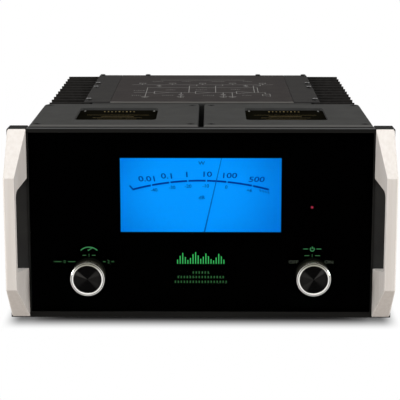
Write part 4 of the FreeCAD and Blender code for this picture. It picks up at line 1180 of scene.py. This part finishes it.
# %% Screws with hexagon sockets
SHANK_RADIUS = 1.55 * MM
black_oxide = textured("black_oxide_screws", (22, 22, 22), (29, 29, 28), 0.5, fine_grain, 0.4, 0.01,
                       refraction=1.04, wear=0.1)
pale_rim_heads = textured("pale_rim_screw_heads", (34, 34, 33), (56, 56, 55), 0.3, fine_grain, 0.8, 0.01,
                      metallic=0.8, refraction=1.2, wear=0.8)


def join_work(works):
    """Several pieces of mesh work as one."""
    whole = bmesh.new()
    for work in works:
        part = bpy.data.meshes.new("part")
        work.to_mesh(part)
        work.free()
        whole.from_mesh(part)
        bpy.data.meshes.remove(part)
    return whole


def socket_screws(node, finish, radius, height, socket, depth):
    """New screws in the places of a piece's old ones. The sizes are those of the head."""
    works = []
    for low, high in islands(node):
        looks_up = low.z > cad_high.z / 2
        side = "top" if looks_up else "under"
        spot = ((low.x + high.x) / 2, (low.y + high.y) / 2, high.z if looks_up else low.z)
        works.append(turned_work(screw_head_rings(radius, height, socket, depth), spot, side, segments=48))
        works.append(turned_work([(SHANK_RADIUS, low.z - high.z), (SHANK_RADIUS, -height)], spot, side,
                                 segments=24))
    piece = add_piece(node + "_with_sockets", join_work(works), finish)
    soften(piece, 0.05 * MM, 1)
    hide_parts(node)
    dress(finish, node)
    print("screws:", node, len(works) // 2)


socket_screws("case_screws", black_oxide, radius=4.4 * MM, height=2.5 * MM, socket=2.1 * MM, depth=1.6 * MM)
socket_screws("deck_screws", pale_rim_heads, radius=3.5 * MM, height=2.2 * MM, socket=1.6 * MM, depth=1.4 * MM)

# %% [markdown]
# ## Strips in the side slots
#
# Between the bulkhead and each heat sink the construction leaves a slot of about five millimetres,
# through which one would look right across. Here a strip of black foam closes each of them. A strip
# is a drawn line like the prints, only thicker.

# %% Slot strips
STRIP_LOW = 110.0 * MM
STRIP_HIGH = 235.5 * MM
STRIP_WIDTH = 3.0 * MM
STRIP_THICK = 4.6 * MM
CLEARANCE = 0.1 * MM
foam_black = textured("foam_black", (14, 14, 14), (20, 20, 20), 0.9, fine_grain, 0.8, 0.05, refraction=1.0)
strip_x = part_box("amplifier_boards")[1].x - STRIP_WIDTH / 2
strips = [shape for x in (-strip_x, strip_x)
          for shape in stroke([(x, STRIP_LOW), (x, STRIP_HIGH)], STRIP_WIDTH)]
print_on("slot_strips", "back", (0.0, deck_front - CLEARANCE - STRIP_THICK, 0.0), strips, foam_black,
         thick=STRIP_THICK)

# %% [markdown]
# ## The plates in the covers
#
# A dark gloss plate is seated under the window of each cover, with fine gold print on it. The print
# here is plain: a row of short gold strokes and a few thin lines under it. Two pale marks in the far
# corners of each window are painted highlights, where the window's rounded corners catch the light.

# %% Dark plates with gold lines
PLATE_MARGIN = 6.0 * MM
STROKE_PITCH = 4.6 * MM
STROKE_HEIGHTS = (6.5, 4.5, 5.5)
STROKE_WIDTHS = (1.7, 1.2)
PLATE_LINES = ((0.62, 38.0, 0.4), (0.5, 20.0, 0.8), (0.38, 30.0, 0.4), (0.26, 24.0, 0.4), (0.12, 36.0, 0.4))
dress(textured("dark_plate_gloss", (11, 10, 6), (15, 14, 9), 0.4, fine_grain, 2.0, 0.002, refraction=1.0),
      "left_nameplate", "right_nameplate")
gold_print = textured("gold_print", (112, 98, 66), (128, 113, 78), 0.5, fine_grain, 0.3, 0.004,
                      refraction=1.05)
painted_corner_glints = textured("painted_corner_glints", (104, 104, 100), (122, 121, 118), 0.5, fine_grain, 0.3, 0.004,
                     refraction=1.05)


def plate_shapes(low, high):
    """A row of nine short strokes, and under it lines of (share of the depth, half length, width)."""
    middle, near, far = (low.x + high.x) / 2, low.y + PLATE_MARGIN, high.y - PLATE_MARGIN
    foot = far - 9.0 * MM
    shapes = []
    for number in range(-4, 5):
        x = middle + number * STROKE_PITCH
        shapes += stroke([(x, foot), (x, foot + STROKE_HEIGHTS[number % 3] * MM)],
                         STROKE_WIDTHS[number % 2] * MM)
    for share, half_length, width in PLATE_LINES:
        y = near + (far - near) * share
        shapes += stroke([(middle - half_length * MM, y), (middle + half_length * MM, y)], width * MM)
    return shapes


def plate_studs(low, high):
    """Painted highlights in the two far corners of the window."""
    return [shape for x in (low.x + 7.5 * MM, high.x - 7.5 * MM) for shape in
            stroke([(x, high.y - 12.0 * MM), (x, high.y - 1.0 * MM)], 2.0 * MM)]


for side_name in ("left", "right"):
    low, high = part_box(side_name + "_nameplate")
    print_on(side_name + "_plate_print", "top", (0.0, 0.0, plate_top), plate_shapes(low, high), gold_print)
    # Painted highlights in the far corners of each window.
    print_on(side_name + "_plate_corner_glints", "top", (0.0, 0.0, plate_top), plate_studs(low, high), painted_corner_glints)

# %% [markdown]
# ## The diagram on the deck
#
# A faint line diagram is printed on the deck. This one is a generic signal path: an input, three
# amplifying stages drawn as triangles, a feedback loop and a loudspeaker, with parts hung below.
# Every part of it is made of the same strokes, so each sign is a short function.

# %% Signs of a line diagram
LINE = 1.0 * MM


def drawn(points, x=0.0, y=0.0, width=LINE, closed=False):
    """A line through points in mm round a place, also in mm."""
    return stroke([((x + a) * MM, (y + b) * MM) for a, b in points], width, closed)


def stage(x, y):
    """The triangle of an amplifying stage."""
    return drawn([(-9, -11), (-9, 11), (11, 0)], x, y, closed=True)


def resistor(x, y, upright=False):
    zigzag = [(-9, 0), (-6, 0), (-5, 3), (-3, -3), (-1, 3), (1, -3), (3, 3), (5, -3), (6, 0), (9, 0)]
    return drawn([(b, a) for a, b in zigzag] if upright else zigzag, x, y)


def capacitor(x, y):
    """Two plates with their wires, on a foot that stands for the ground."""
    parts = ([(0, 9), (0, 1.5)], [(-5, 1.5), (5, 1.5)], [(-5, -1.5), (5, -1.5)], [(0, -1.5), (0, -9)],
             [(-4, -9), (4, -9)])
    return [shape for part in parts for shape in drawn(part, x, y)]


def loudspeaker(x, y):
    return drawn([(-4, -6), (-4, 6), (0, 6), (6, 12), (6, -12), (0, -6)], x, y, closed=True)


def tally(x, y, count):
    """A row of short strokes that stands for the small print beside a part."""
    heights = (5.0, 3.5, 6.0)
    return [shape for number in range(count) for shape in
            drawn([(0, 0), (0, heights[number % 3])], x + number * 2.6, y, 0.8 * MM)]


print("faces in a capacitor sign:", len(capacitor(0, 0)))

# %% [markdown]
# The signs stand on two rows, the signal's and the supply's, and wires run between them. The
# numbers are mm on the deck, from the middle of the amplifier to its right and to its back.

# %% Rows of the diagram
SIGNAL = 60
FEEDBACK = 110
SUPPLY = 140
STAGES = (-55, 0, 55)


def signal_row():
    """From the input through the three stages to the loudspeaker."""
    shapes = drawn([(-92, SIGNAL), (-64, SIGNAL)])
    for x in STAGES:
        shapes += stage(x, SIGNAL)
    shapes += drawn([(-44, SIGNAL), (-9, SIGNAL)]) + drawn([(11, SIGNAL), (46, SIGNAL)])
    return shapes + drawn([(66, SIGNAL), (84, SIGNAL), (84, 48)]) + loudspeaker(84, 36)


def feedback_loop():
    """From the output back to the first stage, with a resistor in the middle."""
    return (drawn([(75, SIGNAL), (75, FEEDBACK), (9, FEEDBACK)]) + resistor(0, FEEDBACK)
            + drawn([(-9, FEEDBACK), (-75, FEEDBACK), (-75, SIGNAL)]))


def hanging_parts():
    """Resistors and capacitors between the signal and the ground."""
    shapes = []
    for x in (-28, 28):
        shapes += drawn([(x, SIGNAL), (x, 48)]) + resistor(x, 39, upright=True) + capacitor(x, 21)
    for x in (-75, 40):
        shapes += drawn([(x, SIGNAL), (x, 30)]) + capacitor(x, 21)
    return shapes


def supply_row():
    """The supply line with its terminals, and what joins it to the stages."""
    shapes = drawn([(-98, SUPPLY), (98, SUPPLY)])
    for x in (-84, -42, 0, 42, 84):
        shapes += drawn([(x, SUPPLY), (x, 150)]) + drawn(arc_points((0, 0), 4.5, 0, 360), x, 155)
    for x in (-60, 60):
        shapes += resistor(x, 128, upright=True)
    for x in (-18, 18, 70):
        shapes += drawn([(x, SIGNAL), (x, 128), (x + 10, 128), (x + 10, SUPPLY)])
    return shapes


print("faces in the signal row:", len(signal_row()), " in the supply row:", len(supply_row()))

# %% [markdown]
# Rows of short strokes stand in for the small print beside the parts, and two thin lines close the
# diagram at the back. The ink is a dull grey on the nearly black deck.

# %% Deck print
TALLIES = ((-92, 76, 6), (-48, 84, 5), (-8, 84, 6), (40, 90, 5), (-92, 30, 5), (-52, 30, 6), (2, 30, 6),
           (54, 30, 5), (-70, 172, 6), (-28, 172, 5), (14, 172, 7), (58, 172, 5))
diagram = signal_row() + feedback_loop() + hanging_parts() + supply_row()
for x, y, count in TALLIES:
    diagram += tally(x, y, count)
for y in (186, 200):
    diagram += drawn([(-60, y), (60, y)], width=0.6 * MM)
deck_ink = textured("deck_ink", (112, 110, 108), (124, 122, 120), 0.6, fine_grain, 0.4, 0.004,
                    refraction=1.12)
print_on("deck_diagram", "top", (0.0, 0.0, deck_top), diagram, deck_ink)

# %% [markdown]
# ## The back
#
# The rear panel carries gold-plated posts with black caps, a three-hole balanced socket, two
# single-ended sockets, control sockets, a slide switch and the mains inlet. Gold plate is smooth
# and warm, nickel is cooler, and the sockets and caps are black mouldings of several glosses.

# %% Finishes of the connectors
dress(textured("gold_plate", (222, 178, 98), (232, 192, 116), 0.18, fine_grain, 0.8, 0.004, metallic=1.0),
      "speaker_posts", "phono_jacks")
dress(textured("moulded_black", (33, 33, 33), (40, 39, 39), 0.42, fine_grain, 0.5, 0.01, refraction=1.12),
      "terminal_block", "input_switch", "mains_inlet")
dress(textured("satin_black_caps", (36, 36, 37), (44, 44, 44), 0.34, fine_grain, 0.7, 0.01, refraction=1.12,
               wear=0.2), "speaker_cap_1", "speaker_cap_2", "speaker_cap_3", "speaker_cap_4")
dress(textured("socket_black_metal", (26, 26, 27), (34, 34, 34), 0.4, fine_grain, 0.6, 0.01, metallic=0.3,
               refraction=1.12, wear=0.3), "xlr_input")
dress(textured("bright_nickel", (186, 184, 178), (200, 198, 192), 0.22, fine_grain, 1.0, 0.004, metallic=1.0),
      "xlr_latch", "control_jacks", "left_knob_shaft", "right_knob_shaft")
dress(textured("white_moulded_lever", (206, 204, 198), (216, 214, 208), 0.45, fine_grain, 0.5, 0.01),
      "input_switch_lever")

# %% [markdown]
# ### Print on the rear panel
#
# Plain numbers and signs tell the posts and sockets apart, and a thin line frames each group. All
# of it could be placed by hand. The solids' own places are used, so a number stays over its post.

# %% Print on the rear panel
POST_NUMBERS = 176.0 * MM
POST_SIGNS = 125.0 * MM
CONTROL_NUMBERS = 101.0 * MM
SWITCH_PLACES = (("1", 147.0 * MM), ("2", 139.0 * MM))
SMALL_FIGURES = 3.4 * MM
FRAME_GAP = 5.0 * MM
FRAME_GAP_BELOW = 8.0 * MM


def numbers_over(name, z, height, from_right=False):
    """Numbers over the solids of a piece, and their places across, as seen from behind."""
    middles = sorted((-(low.x + high.x) / 2 for low, high in islands(name)), reverse=from_right)
    shapes = [shape for number, x in enumerate(middles, start=1)
              for shape in figures(str(number), (x, z), height)]
    return shapes, middles


def frame_round(low, high):
    """A thin line round a connector."""
    left, right = -high.x - FRAME_GAP, -low.x + FRAME_GAP
    under, over = low.z - FRAME_GAP_BELOW, high.z + FRAME_GAP
    return stroke([(left, under), (right, under), (right, over), (left, over)], 0.5 * MM, closed=True)


def panel_shapes():
    """Everything that is printed on the panel, as seen from behind."""
    shapes, posts = numbers_over("speaker_posts", POST_NUMBERS, 5.0 * MM, from_right=True)
    for sign, height, x in zip("+--+", (4.0, 0.8, 0.8, 4.0), posts):
        shapes += figures(sign, (x, POST_SIGNS), height * MM)
    shapes += numbers_over("control_jacks", CONTROL_NUMBERS, SMALL_FIGURES)[0]
    switch_side = -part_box("input_switch")[1].x - 4.5 * MM
    for number, z in SWITCH_PLACES:
        shapes += figures(number, (switch_side, z), SMALL_FIGURES)
    for name in ("xlr_input", "phono_jacks", "mains_inlet", "control_jacks"):
        shapes += frame_round(*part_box(name))
    return shapes


panel_ink = textured("panel_ink", (176, 175, 170), (190, 189, 184), 0.6, fine_grain, 0.4, 0.004,
                     refraction=1.12)
print_on("panel_print", "back", (0.0, panel_back, 0.0), panel_shapes(), panel_ink)

# %% [markdown]
# ## Inside
#
# The transformers, cans, boards and switches are out of sight with the covers on. They still get
# honest finishes, because parts of a model are looked at one by one. Iron is a pack of sheets,
# windings are rows of varnished wire, and the boards are green lacquer over copper.

# %% Finishes of the parts inside
dress(textured("laminated_iron", (92, 90, 86), (108, 105, 100), 0.4, even_layers, 1.2, 0.1, metallic=0.8,
               across=(0.0, 1.0, 0.0)), "power_transformer_core", "output_transformer_core")
dress(textured("varnished_wire", (150, 76, 34), (176, 96, 46), 0.32, even_layers, 1.6, 0.3, metallic=0.3,
               across=(0.0, 0.0, 1.0)), "power_transformer_winding", "output_transformer_winding")
dress(textured("can_sleeve", (20, 22, 30), (26, 28, 38), 0.3, fine_grain, 2.0, 0.01, refraction=1.12),
      "filter_capacitors")
dress(textured("circuit_board", (22, 74, 42), (30, 92, 54), 0.32, even_layers, 2.5, 0.04,
               across=(0.0, 0.7, 0.7)), "amplifier_boards", "input_board")
dress(textured("transistor_case", (30, 30, 30), (38, 37, 36), 0.5, fine_grain, 0.6, 0.02),
      "output_transistors")
dress(textured("zinc_steel", (160, 160, 156), (178, 177, 172), 0.36, fine_grain, 3.0, 0.005, metallic=1.0),
      "cover_standoffs")
# Painted shade: the subpanel is dark grey so that the gaps where it shows look shaded.
dress(textured("dark_steel_painted_shade", (34, 34, 34), (40, 40, 39), 0.6, fine_grain, 1.0, 0.01, refraction=1.02),
      "front_subpanel")
dress(textured("switch_moulding", (46, 44, 40), (56, 53, 48), 0.5, fine_grain, 0.6, 0.01), "rotary_switches")

# %% [markdown]
# ### The movement of the meter
#
# A coil of hair-thin wire turns in the field of a ring magnet, held by two brass bridges and a flat
# bronze spring. Only its needle shows: a thin dark line. Its blue is painted light, standing in for
# the bright dial that lights it all round.

# %% Finishes of the meter
dress(textured("coil_wire", (184, 100, 52), (204, 120, 66), 0.3, even_layers, 0.3, 0.05, metallic=0.7,
               across=(0.0, 1.0, 0.0)), "moving_coil")
dress(textured("white_housing", (204, 206, 204), (216, 217, 214), 0.5, fine_grain, 0.8, 0.01),
      "meter_housing")
dress(textured("magnet_iron", (84, 84, 86), (104, 104, 104), 0.45, fine_grain, 0.8, 0.03, metallic=0.7),
      "meter_magnet")
dress(textured("turned_brass", (196, 158, 84), (212, 176, 102), 0.26, fine_grain, 0.6, 0.005, metallic=1.0),
      "meter_bridges")
dress(textured("spring_bronze", (176, 124, 78), (196, 142, 92), 0.28, drawn_lines, 0.2, 0.003, metallic=1.0),
      "meter_hairspring")
# Painted light: the needle's colour is the blue of the dial's light, not its own dark paint.
dress(textured("needle_painted_dial_light", (4, 70, 160), (8, 82, 176), 0.6, fine_grain, 0.6, 0.004, refraction=1.02),
      "meter_needle")

# %% [markdown]
# ## Softer edges
#
# No real edge is perfectly sharp: a small round on it catches the light and tells the eye how large
# and how hard a thing is. Cutting rounds into the construction would make it heavy. Modifiers leave
# its meshes as they are: equal corners are welded, flat faces are joined, curved faces are shaded
# smooth, and sharp edges get a small round.

# %% Smooth shading up to an angle
def build_smooth_shading(angle):
    """A geometry step that shades a mesh smooth and keeps edges above an angle sharp."""
    steps = bpy.data.node_groups.new("smooth_to_angle", "GeometryNodeTree")
    steps.interface.new_socket("Geometry", in_out="INPUT", socket_type="NodeSocketGeometry")
    steps.interface.new_socket("Geometry", in_out="OUTPUT", socket_type="NodeSocketGeometry")
    enter = steps.nodes.new("NodeGroupInput")
    leave = steps.nodes.new("NodeGroupOutput")
    forget = steps.nodes.new("GeometryNodeRemoveAttribute")
    forget.inputs["Name"].default_value = "custom_normal"
    faces = steps.nodes.new("GeometryNodeSetShadeSmooth")
    edges = steps.nodes.new("GeometryNodeSetShadeSmooth")
    edges.domain = "EDGE"
    edges.inputs["Shade Smooth"].default_value = False
    bend = steps.nodes.new("GeometryNodeInputMeshEdgeAngle")
    sharp = steps.nodes.new("FunctionNodeCompare")
    sharp.operation = "GREATER_THAN"
    sharp.inputs[1].default_value = math.radians(angle)
    for source, socket in (
            (enter.outputs[0], forget.inputs["Geometry"]), (forget.outputs[0], faces.inputs[0]),
            (faces.outputs[0], edges.inputs[0]), (edges.outputs[0], leave.inputs[0]),
            (bend.outputs[0], sharp.inputs[0]), (sharp.outputs[0], edges.inputs["Selection"])):
        steps.links.new(source, socket)
    return steps


smooth_to_angle = build_smooth_shading(32.0)
print("step:", smooth_to_angle.name)

# %% [markdown]
# How round an edge is depends on how the piece is made: cast handles and mouldings have wide
# rounds, folded sheet has small ones. The glass, the dial and the pieces inside are only shaded.

# %% Round the edges
EDGE_ROUNDS = {
    1.0: ("feet",),
    0.8: ("terminal_block",),
    0.7: ("left_end_cap", "right_end_cap"),
    0.6: ("left_end_block", "right_end_block", "left_transformer_cover", "right_transformer_cover"),
    0.4: ("front_frame",),
    0.3: ("left_heat_sink", "right_heat_sink", "chassis_pan", "mains_inlet", "xlr_input", "speaker_posts",
          "speaker_cap_1", "speaker_cap_2", "speaker_cap_3", "speaker_cap_4", "input_switch_lever"),
    0.25: ("deck_plate", "deck_rails", "rear_panel"),
    0.2: ("input_switch", "xlr_latch", "phono_jacks", "control_jacks"),
    0.1: ("left_knob", "right_knob"),
}
round_of = {name: width for width, names in EDGE_ROUNDS.items() for name in names}


def finish_edges(name):
    """Weld, flatten and shade a construction piece, and round its sharp edges."""
    piece = pieces[name]
    piece.modifiers.new("weld", "WELD").merge_threshold = 0.005 * MM
    flatten = piece.modifiers.new("flat faces", "DECIMATE")
    flatten.decimate_type = "DISSOLVE"
    flatten.angle_limit = math.radians(0.5)
    piece.modifiers.new("shading", "NODES").node_group = smooth_to_angle
    if name in round_of:
        soften(piece, round_of[name] * MM)


for name in sorted(pieces):
    finish_edges(name)
print("rounded edges on", len(round_of), "of", len(pieces), "pieces")

# %% [markdown]
# ## Floor, room and lamps
#
# The object stands on a plain white floor in an evenly lit white room. A floor lit to pure white
# would need so much light that every other colour bleached. So the floor is only pale, takes the
# object's shadow, and turns into plain white away from it, for the camera and for reflections.
# Two masks decide that: what kind of ray looks at the floor, and how far from the object it lands.

# %% Where plain white is shown
block_front = -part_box("left_end_block")[0].y


def seen_directly(tree):
    """1 for the camera, for reflections and through glass, and 0 for the light on the object."""
    rays = add_node(tree, "LightPath").outputs
    direct = calc(tree, "MAXIMUM", rays["Is Camera Ray"], rays["Is Glossy Ray"])
    return calc(tree, "MAXIMUM", direct, rays["Is Transmission Ray"])


def away_from_object(tree):
    """0 under the object, and 1 beside it, in front of it and behind it."""
    place = calc_vector(tree, "ABSOLUTE", add_node(tree, "NewGeometry").outputs["Position"])
    spot = add_node(tree, "SeparateXYZ", place).outputs
    beside = fade(tree, spot["X"], cad_high.x - 7.0 * MM, cad_high.x + 17.0 * MM)
    before = fade(tree, spot["Y"], block_front - 46.0 * MM, block_front + 5.0 * MM)
    under = calc(tree, "MULTIPLY", calc(tree, "SUBTRACT", 1.0, beside), calc(tree, "SUBTRACT", 1.0, before))
    return calc(tree, "SUBTRACT", 1.0, under)


print("the floor turns white %.3f m in front of the middle" % (block_front + 5.0 * MM))

# %% [markdown]
# ### The floor
#
# The floor is one large flat square. What it throws back at the object is a little warm, as the
# lower facets of the handles show, and where it is seen it is a neutral grey that takes the shadow.

# %% The floor
FLOOR_REACH = 6.0
BOUNCED = (0.36, 0.29, 0.23, 1.0)
SEEN = (0.27, 0.27, 0.27, 1.0)
PLAIN_WHITE = (1.0, 1.0, 1.0, 1.0)


def floor_finish():
    finish = bpy.data.materials.new("white_floor")
    finish.use_nodes = True
    tree = finish.node_tree
    lit = tree.nodes["Principled BSDF"]
    lit.inputs["Roughness"].default_value = 0.9
    lit.inputs["Specular IOR Level"].default_value = 0.0
    seen = seen_directly(tree)
    feed(tree, lit.inputs["Base Color"], mixed(tree, seen, BOUNCED, SEEN))
    white = add_node(tree, "Emission", PLAIN_WHITE, 1.0)
    share = calc(tree, "MULTIPLY", seen, away_from_object(tree))
    blend = add_node(tree, "MixShader", share, lit.outputs["BSDF"], white.outputs["Emission"])
    tree.links.new(blend.outputs["Shader"], tree.nodes["Material Output"].inputs["Surface"])
    return finish


floor_work = bmesh.new()
bmesh.ops.create_grid(floor_work, x_segments=1, y_segments=1, size=FLOOR_REACH)
floor_mesh = bpy.data.meshes.new("floor")
floor_work.to_mesh(floor_mesh)
floor_work.free()
floor_mesh.materials.append(floor_finish())
floor = bpy.data.objects.new("floor", floor_mesh)
bpy.context.scene.collection.objects.link(floor)
floor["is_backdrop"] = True
print("floor size in m:", [round(side, 1) for side in floor.dimensions])

# %% [markdown]
# ### The room
#
# The room is the world behind everything. It does what the floor does: it shows plain white to the
# camera and in reflections, and lights the object at a modest level.

# %% The room
ROOM_LIGHT = 0.485
room = bpy.data.worlds.new("room")
room.use_nodes = True
bpy.context.scene.world = room
tree = room.node_tree
dim = tree.nodes["Background"]
dim.inputs["Color"].default_value = PLAIN_WHITE
dim.inputs["Strength"].default_value = ROOM_LIGHT
bright = add_node(tree, "Background", PLAIN_WHITE, 1.0)
blend = add_node(tree, "MixShader", seen_directly(tree), dim.outputs["Background"],
                 bright.outputs["Background"])
tree.links.new(blend.outputs["Shader"], tree.nodes["World Output"].inputs["Surface"])
print("room light:", dim.inputs["Strength"].default_value)

# %% [markdown]
# ### The lamps
#
# Small lamps would draw hard shadows and bright spots. A studio hangs large white sheets of light
# instead: a weak one overhead, and one on each side that reaches the handles' facets from the
# front. The left one is a little stronger.

# %% The lamps
bpy.context.scene.view_settings.view_transform = "Standard"
ABOVE = (0.0, 0.0, 0.1)
FRONT = (0.0, -0.2, 0.1)


def softbox(name, place, aim, size, watts):
    light = bpy.data.lights.new(name, "AREA")
    light.shape = "RECTANGLE"
    light.size, light.size_y = size
    light.energy = watts
    lamp = bpy.data.objects.new(name, light)
    lamp.location = place
    lamp.rotation_euler = (Vector(aim) - Vector(place)).to_track_quat("-Z", "Y").to_euler()
    bpy.context.scene.collection.objects.link(lamp)
    print("lamp", name, watts, "W")


softbox("top_softbox", (0.0, -0.1, 1.7), ABOVE, (1.6, 1.4), 10.0)
softbox("left_softbox", (-2.2, -1.15, 0.7), FRONT, (0.7, 1.2), 46.0)
softbox("right_softbox", (2.2, -1.15, 0.7), FRONT, (0.7, 1.2), 44.0)

# %% [markdown]
# ## The size, and the end
#
# The dressed model has to keep the construction's size. The script prints how far it reaches past
# the construction's box on each side.

# %% Print the size and finish
visual_low, visual_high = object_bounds()
grown = (*(cad_low - visual_low), *(visual_high - cad_high))
print("grown by in mm:", [round(part / MM, 2) for part in grown])
